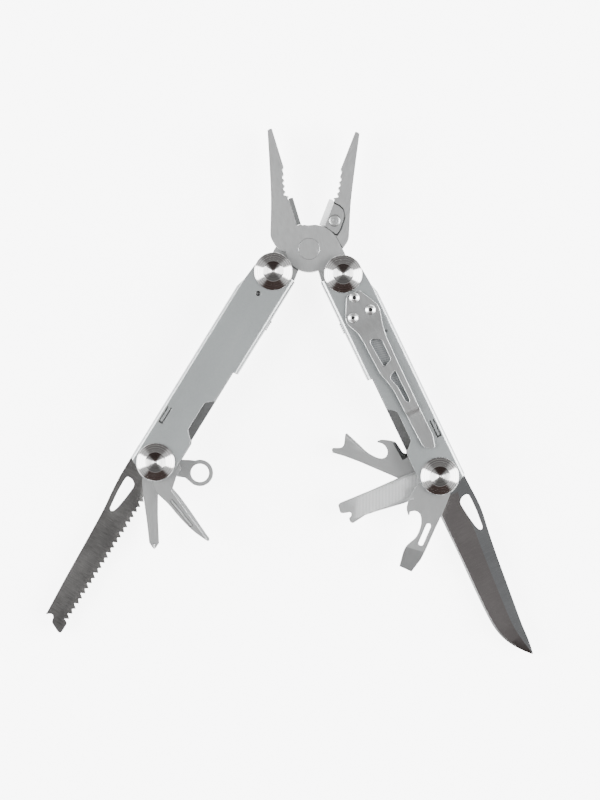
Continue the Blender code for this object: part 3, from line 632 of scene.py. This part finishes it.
def channel(word):
    """A handle's folded sheet, with its slots and, at the left, its stop rivet."""
    side, body = SIDES[word], word + "_handle"
    mesh = carve(bar(side), [prism(place(side, plate_outline()), -9, 9)], "INTERSECT")
    tongue = [(67.4, -7.75), (74.8, -7.75), (74.8, -5.65), (67.4, -5.65), (67.4, -6.3),
              (74.1, -6.3), (74.1, -7.1), (67.4, -7.1)]
    nick = rounded([(55.8, 12.0), (55.8, 7.6), (58.6, 4.1), (71.4, 4.1), (74.6, 7.4),
                    (74.6, 12.0)], 0.8)
    cutters = [
        along(side, -20, 110, -INSIDE, INSIDE, -PLATE_IN, PLATE_IN),
        along(side, -20, 67.0, -12, -INSIDE + 1, -4.0, 4.0),
        along(side, -20, 12.0, -12, -INSIDE + 1, -PLATE_IN, PLATE_IN),
        along(side, 86.2, 110, -12, -INSIDE + 1, -PLATE_IN, -3.5),
        along(side, 92.0, 110, -12, -INSIDE + 1, -PLATE_IN, PLATE_IN),
        along(side, -20, 60, INSIDE - 1, 12, -PLATE_IN, -3.2),
        along(side, 15.4, 25.0, INSIDE - 1, 12, -0.2, 4.2),
        prism(place(side, nick), 5, 10),
        prism(place(side, tongue), 5, 10),
        rod(0, 0, HEAD_BORE, -9, 9), rod(0, -AXLE_SPACING, AXLE_BORE, -9, 9),
    ]
    if word == "left":
        x, y = place(side, [(10.6, -0.5)])[0]
        cutters.append(rod(x, y, 1.05, 5, 10, 32))
        rivet = [(0.0, 7.30), (0.5, 7.27), (0.90, 7.10), (1.0, 6.9), (1.0, PLATE_IN),
                 (0.0, PLATE_IN)]
        at = HANDLES[word] @ Matrix.Translation(Vector((x, y, 0)) * MM)
        piece("left_stop_rivet", spun(rivet, 40), body, at, METALS["rivet"], 0.0)
    else:
        x, y = place(side, [(27.7, -5.7)])[0]
        cutters.append(rod(x, y, 0.6, 5, 10, 32))
    mesh = clean(carve(mesh, cutters))

    # faces turned into the channel get the darker inside steel as painted shade
    def faces_inwards(at, way):
        return int(at.z * way.z < -5.0 or at.x * way.x < -7.5)

    # the right handle's plate has painted shade under the clip
    finish_and_shade = "plate" if word == "left" else "plate_clip_shade"
    # the shell's rounded edges carry a painted highlight
    piece(body + "_shell", mesh, body, HANDLES[word], [METALS[finish_and_shade], METALS["inside"]], 0.13,
          [word + "_channel"], 2, 40, rim=METALS["highlight_paint"], tight=True,
          paint=faces_inwards)


def caps(word):
    """The four turned rosettes of a handle."""
    body = word + "_handle"
    profile = [(0.0, 1.30), (0.20, 1.14), (0.36, 1.06), (0.50, 1.07), (0.8, 1.17), (2.0, 1.57),
               (3.5, 2.07), (3.80, 2.18), (3.95, 2.31), (4.02, 2.38), (4.10, 2.38), (4.20, 2.34),
               (4.5, 2.18), (5.6, 1.60), (6.8, 0.97), (7.30, 0.70), (7.52, 0.56), (7.60, 0.44),
               (7.60, 0.0), (3.3, 0.0), (3.3, 0.6), (0.0, 0.6)]
    for end, y in (("head", 0.0), ("tool", -AXLE_SPACING)):
        for which, flip in (("front", 0.0), ("rear", math.pi)):
            height = -CAP_BASE if flip else CAP_BASE
            at = HANDLES[word] @ Matrix.Translation(Vector((0, y, height)) * MM)
            piece(f"{word}_{end}_rosette_{which}", spun(profile, 128), body,
                  at @ Matrix.Rotation(flip, 4, "X"), METALS["turned"], 0.0,
                  [f"{word}_{end}_cap_{which}"], smooth=50.0)


def slider(word):
    """The lock slide: a tongue inside and a ribbed button through the inner web."""
    side, body = SIDES[word], word + "_slider"
    mesh = along(side, 8.0, 22.0, INSIDE - 1.0, INSIDE - 0.2, -0.8, 4.8)
    button = along(side, 17.2, 21.4, INSIDE - 0.6, HALF_WIDTH + 0.55, 0.2, 3.8)
    mesh = carve(mesh, [button], "UNION")
    grooves = [along(side, u, u + 0.35, HALF_WIDTH + 0.2, HALF_WIDTH + 2, -1, 5)
               for u in (17.9, 18.75, 19.6, 20.45)]
    piece(word + "_lock_button", clean(carve(mesh, grooves)), body, HANDLES[word], METALS["tip"],
          0.10, [word + "_lock_slider"], 2)


for word in SIDES:
    channel(word)
    caps(word)
    slider(word)


# ---------------------------------------------------------------- folding tools

LEFT_TOOLS = ("awl", "phillips_driver", "lanyard_ring", "saw_blade")


def flat(points):
    """(a, c) points of a tool in its own X and Y."""
    return [(a, -c) for a, c in points]


def tang(radius, first, last):
    """The round end of a tool, about its axle."""
    return arc(0, 0, radius, first, last, 36)


BORE = arc(0, 0, AXLE_BORE, 0, 352.5, 47)


def tool(name, mesh, material, edge=0.12, suffix="_blade", paint=None,
         smooth=32.0, tight=False):
    """Put a tool on its axle. paint is (more materials, function that picks one for a face)."""
    more, pick = paint or ((), None)
    where = spot_frame(TOOL_AXLES["left" if name in LEFT_TOOLS else "right"], HEADINGS[name])
    # each tool's rounded edges get the darker rim steel as painted shade
    piece(name + suffix, mesh, name, where, [METALS[one] for one in (material, *more)], edge,
          [name], 2, 25, smooth, pick, METALS["rim"], tight)


def bored(outline, low, high, holes=(), cutters=()):
    """A flat tool's solid, with the hole for its axle."""
    return clean(carve(prism(flat(outline), low, high, [flat(h) for h in (BORE, *holes)]), cutters))


def groove(points, width, top, depth):
    """A round-ended trough along a line of (a, c) points, cut into the face at height top."""
    pieces = []
    for (a0, c0), (a1, c1) in zip(points, points[1:]):
        length, turn = math.hypot(a1 - a0, c1 - c0), math.degrees(math.atan2(c1 - c0, a1 - a0))
        angles = [math.radians(t) for t in range(15, 91, 15)]
        profile = [(0.0, -depth)]
        profile += [(width / 2 * math.sin(t), -depth * math.cos(t)) for t in angles]
        half = [(-x, z) for x, z in profile[::-1]] + profile[1:]
        section = half + [(width / 2, 1.0), (-width / 2, 1.0)]
        mesh = prism(section, 0, length)
        mesh.transform(Matrix.Rotation(math.pi / 2, 4, "X"))
        mesh.transform(Matrix.Rotation(math.pi / 2, 4, "Z"))
        mesh.transform(Matrix.Rotation(-math.radians(turn), 4, "Z"))
        mesh.transform(Matrix.Translation(Vector((a0, -c0, top)) * MM))
        pieces.append(mesh)
    return pieces


RAMP_REACH = 30.0


def ramp(start, end, side, fall, top):
    """A wedge that grinds the face at height top from a line (start, end) down to one side.

    fall is (distance, depth). side is 1 for the clockwise side of the line, and -1 for the other.
    """
    run, depth = fall
    (a0, c0), (a1, c1) = start, end
    length = math.hypot(a1 - a0, c1 - c0)
    low = -depth / run * RAMP_REACH
    mesh = bpy.data.meshes.new("ramp")
    work = bmesh.new()
    ends = []
    for x in (0.0, length):
        ring = [(0.0, 0.0), (-side * RAMP_REACH, low), (-side * RAMP_REACH, 4.0), (0.0, 4.0)]
        ends.append([work.verts.new((x * MM, y * MM, z * MM)) for y, z in ring])
    close_rings(work, ends)
    work.to_mesh(mesh)
    work.free()
    mesh.transform(Matrix.Rotation(math.atan2(c0 - c1, a1 - a0), 4, "Z"))
    mesh.transform(Matrix.Translation(Vector((a0, -c0, top)) * MM))
    return mesh


def close_rings(work, rings):
    """Faces from each ring of points to the next, and over the first and the last."""
    count = len(rings[0])
    for here, there in zip(rings, rings[1:]):
        for i in range(count):
            k = (i + 1) % count
            work.faces.new((here[i], here[k], there[k], there[i]))
    work.faces.new(rings[0])
    work.faces.new(rings[-1][::-1])
    bmesh.ops.recalc_face_normals(work, faces=work.faces)


THIN = 0.10     # the least half thickness where a blade's last bevel starts


def ground_blade(spine, edge, grind, half, stations):
    """A blade's solid from its spine, edge and grind line, each c as a function of a.

    Its faces are flat from the spine to the grind line, fall to near the edge, and end in a
    steeper bevel. It gets thinner where it gets narrower.
    """
    mesh = bpy.data.meshes.new("blade")
    work = bmesh.new()
    rows = []
    for a in stations:
        top, low, line = spine(a), edge(a), grind(a)
        side = 1 if low > top else -1
        span = abs(low - top)
        line = top + side * min(max(side * (line - top), 0.35 * span), 0.97 * span)
        thick = half * min(1.0, 0.06 + span / 11.0)
        bevel_at = low - side * min(0.75, 0.2 * span, 0.6 * abs(low - line))
        rub = min(0.08, 0.2 * span)
        shoulder = THIN + (thick - THIN) * 0.16
        ring = [(top, thick - 0.08), (top + side * rub, thick), (line, thick),
                (bevel_at, shoulder), (low, 0.02)]
        ring = ring + [(c, -z) for c, z in ring[::-1]]
        rows.append([work.verts.new((a * MM, -c * MM, z * MM)) for c, z in ring])
    close_rings(work, rows)
    work.to_mesh(mesh)
    work.free()
    return mesh


def through(points):
    """A function of a that runs smoothly through (a, c) points."""
    line = smooth_line(points, 10)

    def value(a):
        if a <= line[0][0]:
            return line[0][1]
        for (a0, c0), (a1, c1) in zip(line, line[1:]):
            if a <= a1 and a1 > a0:
                return c0 + (c1 - c0) * (a - a0) / (a1 - a0)
        return line[-1][1]
    return value


def thumb_hole(shift=0.0, side=1):
    """The long hole that a thumbnail opens a blade by."""
    wide = [(12.0, -6.5), (12.0, -4.6), (13.2, -2.9), (14.6, -2.5), (20.0, -2.9), (25.0, -3.6),
            (26.9, -4.3), (27.4, -5.2), (26.6, -6.0), (20.0, -6.9), (15.0, -7.2), (12.6, -7.1)]
    return rounded([(a + shift, side * c) for a, c in wide], 1.4, 5)


def rooted(blade, outline, low, high, holes):
    """The round root around the axle, joined to the blade's solid, with their holes."""
    blade.transform(Matrix.Translation((0, 0, (low + high) / 2 * MM)))
    whole = carve(prism(flat(outline), low, high), [blade], "UNION")
    return clean(carve(whole, [prism(flat(h), low - 1, high + 1) for h in (BORE, *holes)]))


def both_faces(cuts, low, high):
    """The cuts, and the same ones mirrored to the other face."""
    copies = [mirror_z(cut) for cut in cuts]
    for copy in copies:
        copy.transform(Matrix.Translation((0, 0, (low + high) * MM)))
    return cuts + copies


BLADE_LAYER = (-6.2, -3.9)      # the knife's and the saw's heights
TOOTH_PITCH = 2.42
ROW_PITCH, ROW_TURN = 0.62, -22


def knife():
    """A pointed blade, from its spine, edge and grind line."""
    low, high = BLADE_LAYER
    spine = through([(8.6, -9.25), (17.0, -9.2), (22.0, -8.7), (30.0, -7.2), (40.0, -5.6),
                     (50.0, -4.2), (60.0, -2.8), (68.0, -1.7), (75.0, -1.1), (80.6, -0.2),
                     (81.2, 0.2)])
    edge = through([(8.6, 6.2), (12.0, 6.7), (15.0, 7.0), (30.0, 7.6), (45.0, 8.5), (57.0, 9.0),
                    (64.0, 8.9), (68.5, 8.1), (72.5, 6.6), (76.5, 4.2), (79.5, 1.9),
                    (81.2, 0.35)])
    grind = through([(8.6, -3.8), (14.0, -3.2), (24.0, -2.6), (40.0, -1.8), (60.0, -1.4),
                     (73.0, -0.8), (78.0, -0.3), (81.2, 0.2)])

    def facet(at, way):
        """The spine's flat, the ground face below it, or the bevel along the edge."""
        if way.y > -0.045 or abs(way.z) < 0.5:
            return 0
        return 2 if abs(way.z) < 0.96 and at.x < 76.0 else 1

    stations = [8.6 + 0.8 * i for i in range(91)] + [81.15]
    outline = [(8.5, 6.1), (9.4, 6.2), (9.4, -9.25), (-1.5, -9.25), (-1.5, -7.6)]
    outline += tang(7.0, 250, 60)
    mesh = rooted(ground_blade(spine, edge, grind, 1.15, stations), outline, low, high,
                  [thumb_hole()])
    tool("knife_blade", mesh, "spine", 0.0, "_ground",
         paint=(("knife", "tip"), facet), smooth=7.0)


def saw():
    """A saw blade with teeth of two depths, ground thinner towards them, and a hooked tip."""
    low, high = BLADE_LAYER
    teeth = [(12.0, -2.7)]
    for i in range(24):
        start, deep = 15.2 + TOOTH_PITCH * i, -2.4 if i % 2 else -2.9
        teeth += [(start - 0.12, deep - 0.05), (start + 0.12, deep), (start + 1.35, -3.95),
                  (start + 1.6, -3.95)]
    tip = rounded([(73.4, -2.7), (74.4, -4.3), (78.8, -4.3), (79.2, -3.2), (77.2, 1.2),
                   (75.2, 1.7), (74.3, 2.5), (74.7, 3.6), (75.7, 4.8), (75.1, 5.2)], 0.6, 3)
    back = smooth_line([(60.0, 6.0), (40.0, 7.1), (28.0, 7.9), (20.0, 8.9), (13.0, 9.55)], 4)
    root = [(-1.5, 9.9), (-1.5, 7.6)]
    outline = teeth + tip + back + root + tang(7.0, 110, 300)
    grind = both_faces([ramp((13.0, -0.6), (76.0, -0.6), -1, (3.4, 0.75), high)], low, high)
    tool("saw_blade", bored(outline, low, high, [thumb_hole(-0.6, -1)], grind), "saw", 0.07,
         "_toothed")


def file():
    """A flat file with slanting rows cut into both faces and a notched driver end."""
    low, high = -0.9, 1.5
    upper = [(7.0, 5.2), (16.2, 5.2), (28.0, 4.8), (40.9, 4.7), (41.8, 4.1), (42.1, 1.0)]
    notch = [(41.2, 0.4), (39.6, 0.0), (38.5, -0.2), (38.1, -0.8), (38.5, -1.8), (39.8, -2.4)]
    lower = [(39.8, -4.0), (39.0, -4.8), (33.2, -3.6), (28.0, -3.9), (17.0, -5.0), (7.0, -5.0)]
    outline = rounded(upper + notch + lower, 0.5, 3) + tang(6.8, 310, 50)
    rows = []
    for side in (1, -1):
        for i in range(44):
            mesh = prism([(-0.29, 0.02), (0.0, -0.055), (0.29, 0.02)], -4.1, 4.3)
            mesh.transform(Matrix.Rotation(math.pi / 2, 4, "X"))
            mesh.transform(Matrix.Rotation(math.radians(ROW_TURN), 4, "Z"))
            if side < 0:
                mesh = mirror_z(mesh)
            spot = Vector((8.2 + ROW_PITCH * i, -0.2, high if side > 0 else low))
            mesh.transform(Matrix.Translation(spot * MM))
            rows.append(mesh)
    tool("file", bored(outline, low, high, (), [join(rows)]), "file", 0.06, suffix="_cut")


def join(meshes):
    """Several meshes as one."""
    work = bmesh.new()
    for mesh in meshes:
        work.from_mesh(mesh)
    joined = bpy.data.meshes.new("joined")
    work.to_mesh(joined)
    work.free()
    return joined


def can_facet(at, way):
    """1 on the hook's sharpened bevel and along the fork's upper edge, painted darker as a dark
    reflection.
    """
    return int(0.3 < way.z < 0.99)


def driver_facet(at, way):
    """1 on the ground end of the bottle opener's driver."""
    return int(at.x > 31.0 and 0.5 < abs(way.z) < 0.9999)


def awl_facet(at, way):
    """1 on the slopes along the awl's straight side, where a painted highlight marks the ridge."""
    return int(0.2 < way.z < 0.975 and at.y > -1.75 and at.x > 12.0)


def can_opener():
    """A hook with a sharpened bevel, a hollow, and a forked tip."""
    low, high = -3.5, -1.3
    hook = rounded([(8.0, 4.4), (16.4, 4.4), (20.4, 7.6), (21.6, 7.6), (24.0, 7.3), (26.4, 6.7),
                    (27.6, 5.7), (27.4, 5.2), (26.0, 5.3)], 0.5, 3, (0,))
    hollow = smooth_line([(24.2, 4.9), (22.8, 3.6), (22.2, 2.0), (22.5, 0.6), (23.6, -0.3),
                          (25.0, -0.6), (27.0, -0.5), (30.5, 0.4), (35.0, 2.6), (40.2, 5.0)], 5)
    fork = smooth_line([(40.7, 4.3), (40.1, 1.4), (40.0, -0.2), (40.8, -1.3), (42.4, -1.9),
                        (43.6, -2.3), (43.9, -3.1), (43.3, -4.2)], 5)
    back = [(38.0, -4.1), (32.0, -4.4), (24.0, -5.2), (15.3, -6.0), (7.0, -6.0)]
    cuts = [ramp((15.6, 1.6), (21.2, 6.7), 1, (1.6, 0.8), high),
            ramp((30.6, -0.25), (41.0, 4.3), 1, (1.6, 0.6), high)]
    outline = hook + hollow + fork + back + tang(6.8, 300, 45)
    tool("can_opener", bored(outline, low, high, (), cuts), "tool", 0.09,
         paint=(("edge",), can_facet))


def bottle_opener():
    """A hook and hollow, a slit, and a large flat driver ground on both faces."""
    low, high = 3.7, 6.1
    hook = rounded([(7.0, 7.3), (11.0, 7.9), (11.3, 6.9), (12.0, 6.5), (12.7, 6.9), (12.8, 8.0),
                    (14.5, 8.2), (16.0, 8.1), (17.6, 7.4), (18.9, 6.3), (18.7, 5.9),
                    (17.8, 6.1)], 0.35, 3, (0,))
    hollow = smooth_line([(16.9, 5.5), (16.4, 4.2), (16.5, 2.9), (17.3, 1.7), (19.0, 0.8),
                          (21.0, 0.2), (24.0, 0.1), (26.5, 0.6), (29.0, 2.0), (31.0, 2.9),
                          (33.5, 3.1), (37.2, 2.8)], 5)
    blade = rounded([(39.2, 2.7), (39.6, -2.7), (37.5, -3.3), (33.6, -4.5), (30.0, -4.9),
                     (20.0, -5.6), (12.0, -6.3), (5.0, -6.5)], 0.3, 3)
    slit = arc(20.2, -2.7, 1.0, 90, 270, 12) + arc(27.6, -2.3, 1.0, -90, 90, 12)
    cuts = both_faces([ramp((31.2, 6.0), (30.4, -7.0), 1, (9.5, 0.75), high)], low, high)
    outline = hook + hollow + blade + tang(7.0, 295, 50)
    tool("bottle_opener", bored(outline, low, high, [slit], cuts), "tool", 0.09,
         paint=(("tip",), driver_facet), tight=True)


def awl():
    """A pointed awl with a slope and a fine groove along its straight side, and a nail nick."""
    low, high = 3.9, 6.1
    taper = smooth_line([(8.0, 6.2), (10.9, 6.5), (16.2, 5.3), (23.7, 4.4), (30.4, 3.1),
                         (35.1, 1.5), (37.6, 0.4)], 4) + [(37.75, 0.0), (37.7, -0.4)]
    straight = [(37.0, -0.75), (31.8, -0.65), (26.5, -0.6), (21.0, -0.5), (15.9, -0.2),
                (12.4, 0.3), (8.9, -4.1), (7.6, -7.0), (5.9, -7.0)]
    cuts = [ramp((12.5, 1.3), (38.5, -0.2), -1, (2.0, 0.35), high)]
    cuts += groove([(12.6, 1.2), (37.0, 0.30)], 0.42, high + 0.02, 0.14)
    cuts += groove([(16.0, 3.4), (29.2, 2.35)], 1.3, high + 0.25, 0.95)
    tool("awl", bored(taper + straight + tang(6.8, 311, 50), low, high, (), cuts), "tool", 0.09,
         paint=(("highlight_paint",), awl_facet))


def phillips():
    """A flat shank that is milled to a pointed cross tip."""
    low, high = 1.1, 3.5
    upper = [(8.0, 5.6), (14.1, 5.0), (22.1, 3.8), (30.2, 2.75), (32.2, 2.55), (34.3, 1.15),
             (34.9, 0.5)]
    lower = [(34.3, -0.15), (32.4, -1.4), (30.0, -1.25), (20.7, -0.8), (12.8, -0.8), (8.0, -3.6)]
    cuts = both_faces(groove([(32.6, 0.6), (36.0, 0.5)], 0.8, high + 0.02, 0.5), low, high)
    tool("phillips_driver", bored(upper + lower + tang(6.8, 320, 50), low, high, (), cuts), "tool")


def lanyard_ring():
    """A ring on a short neck, for a cord."""
    low, high = -3.4, -1.4
    outline = [(6.0, 4.6), (9.5, 3.7), (12.6, 3.4)]
    outline += [(17.8 + p[0], p[1]) for p in arc(0, 0, 5.3, 125, -125, 64)]
    outline += [(12.6, -4.0), (9.5, -3.3), (6.0, -4.2)] + tang(6.6, 310, 50)
    eye = [(17.8 + p[0], p[1]) for p in arc(0, 0, 3.65, 0, 354, 59)]
    tool("lanyard_ring", bored(outline, low, high, [eye]), "tool", 0.15, suffix="_eye")


for make in (knife, saw, file, can_opener, bottle_opener, awl, phillips, lanyard_ring):
    make()


# ---------------------------------------------------------------- pocket clip

CLIP_THICK = 1.0
CLIP_SCREWS = {"top": (10.4, 0.1), "inner": (17.4, 4.0), "outer": (17.5, -3.6)}


def clip_rise(u):
    """How far the clip stands off the plate at u, with its bends softened."""
    stations = [(0.0, 0.0), (19.8, 0.0), (26.0, 1.15), (42.0, 1.15), (60.5, 1.1), (62.3, 0.0),
                (67.0, 0.05), (78.5, 0.85)]
    blur = [u + away for away in (-0.5, -0.25, 0.0, 0.25, 0.5)]
    total = 0.0
    for spot in blur:
        height = stations[-1][1]
        for (u_low, low), (u_high, high) in zip(stations, stations[1:]):
            if spot <= u_high:
                height = low + (high - low) * max(0.0, spot - u_low) / (u_high - u_low)
                break
        total += height
    return total / len(blur)


def pocket_clip():
    """The bent clip with its two openings, and the three domed screws that hold it."""
    inner = [(8.3, 2.6), (16.4, 6.9), (18.6, 7.2), (21.0, 6.3), (24.0, 4.9), (28.0, 4.5),
             (42.5, 3.9), (46.0, 2.8), (50.5, 1.9), (60.0, 1.6), (66.0, 1.4), (74.5, 1.1),
             (76.4, 0.4), (77.9, -2.3)]
    outer = [(77.6, -3.3), (73.0, -4.6), (60.0, -4.4), (40.0, -4.5), (30.0, -4.7), (25.0, -5.4),
             (21.5, -6.4), (18.5, -7.2), (16.4, -7.0), (8.3, -3.0)]
    first = [(28.2, 1.0), (29.2, 2.1), (34.0, 1.8), (39.6, 1.3), (40.0, 0.6), (38.8, -2.4),
             (30.0, -2.5)]
    second = [(43.3, -2.1), (44.6, 0.5), (45.8, 1.0), (49.5, -0.2), (56.0, -0.6), (57.2, -1.4),
              (56.5, -2.2)]
    holes = [rounded(first, 0.8), rounded(second, 0.7)]
    holes += [[(u + p[0], v + p[1]) for p in arc(0, 0, 1.6, 0, 348.75, 31)]
              for u, v in CLIP_SCREWS.values()]
    low = CAP_BASE
    mesh = prism(place(-1, rounded(inner + outer, 1.2, 4)), low, low + CLIP_THICK,
                 [place(-1, h) for h in holes])
    work = bmesh.new()
    work.from_mesh(mesh)
    for u in range(9, 79):      # cut across each millimetre, so that the strip can bend
        geometry = work.verts[:] + work.edges[:] + work.faces[:]
        bmesh.ops.bisect_plane(work, geom=geometry, dist=0.0005 * MM, plane_co=(0, -u * MM, 0),
                               plane_no=(0, 1, 0))
    for vertex in work.verts:
        vertex.co.z += clip_rise(-vertex.co.y / MM) * MM
    work.to_mesh(mesh)
    work.free()
    # the clip's rounded edges carry a painted highlight
    piece("pocket_clip_strip", mesh, "right_handle", HANDLES["right"], METALS["clip"], 0.20,
          ["pocket_clip"], 3, 40, 30, rim=METALS["highlight_paint"])
    dome = [(0.0, 1.02), (0.7, 1.0), (1.15, 0.90), (1.6, 0.68), (1.9, 0.42), (2.06, 0.15),
            (2.1, 0.0), (1.35, 0.0), (1.35, -CLIP_THICK + 0.05), (0.0, -CLIP_THICK + 0.05)]
    for which, (u, v) in CLIP_SCREWS.items():
        x, y = place(-1, [(u, v)])[0]
        at = HANDLES["right"] @ Matrix.Translation(Vector((x, y, low + CLIP_THICK + 0.05)) * MM)
        screw = clean(carve(spun(dome, 64), [rod(0, 0, 0.82, 0.25, 2.0, 6)]))
        piece("clip_dome_" + which, screw, "right_handle", at, [METALS["dome"], METALS["socket"]],
              0.05, ["clip_screw_" + which], 2, 40, 40,
              paint=lambda at, way: int(math.hypot(at.x, at.y) < 0.83 and 0.0 < at.z < 0.95))


pocket_clip()

INNER = ("axle", "washer", "spacer", "spring")
for name, node in frame["nodes"].items():
    if any(word in name for word in INNER):
        for one in node.material_slots:
            one.material = METALS["inner"]


# ---------------------------------------------------------------- floor, light, camera

def room():
    """Soft white sides at left and right and overhead, darker ends, and a pale horizon."""
    n = Nodes(bpy.data.worlds.new("room"), "Background")

    def step(value, low, high):
        return n.span(value, low, high, interpolation_type="SMOOTHSTEP")

    x, y, z = n.axes(n.add("ShaderNodeTexCoord").outputs["Generated"])
    lean = n.math("SUBTRACT", n.math("ABSOLUTE", x), n.math("ABSOLUTE", y))
    ends = n.blend(step(y, -0.2, 0.2), ROOM["near_end"], ROOM["far_end"])
    walls = n.blend(step(lean, -0.22, 0.12), ends, ROOM["sides"])
    dome = n.blend(step(z, 0.84, 0.955), walls, ROOM["overhead"])
    n.feed(n.shader, "Color", n.blend(step(z, 0.34, 0.10), dome, ROOM["horizon"]))
    return n.made


def studio():
    """A pale floor, a soft white room with brighter sides, and a camera straight above."""
    corners = [(x * FLOOR_HALF, y * FLOOR_HALF, 0) for x, y in ((-1, -1), (1, -1), (1, 1), (-1, 1))]
    mesh = bpy.data.meshes.new("floor")
    mesh.from_pydata(corners, [], [(0, 1, 2, 3)])
    floor = put("floor", mesh)
    floor.location.z = -FLOOR_GAP
    paper = Nodes(bpy.data.materials.new("paper"))
    for key, value in (("Base Color", grey(0.90)), ("Roughness", 0.9),
                       ("Emission Color", grey(1.0)), ("Emission Strength", GLOW)):
        paper.feed(paper.shader, key, value)
    mesh.materials.append(paper.made)
    bpy.context.scene.world = room()
    for name, place_at, size, power in LIGHTS:
        lamp = bpy.data.lights.new(name, "AREA")
        lamp.shape = "RECTANGLE"
        lamp.size, lamp.size_y = size
        lamp.energy = power
        thing = put(name, lamp)
        thing.location = place_at
        thing.rotation_euler = (-Vector(place_at)).to_track_quat("-Z", "Y").to_euler()
    camera = bpy.data.cameras.new("camera")
    camera.sensor_fit = "VERTICAL"
    camera.sensor_height = SENSOR
    camera.lens = SENSOR * CAMERA_HEIGHT / VIEW_HEIGHT
    camera.clip_start, camera.clip_end = 0.05, 20.0
    thing = put("camera", camera)
    thing.location = PIVOT + Vector((*CAMERA_ASIDE, CAMERA_HEIGHT))
    bpy.context.scene.camera = thing


studio()
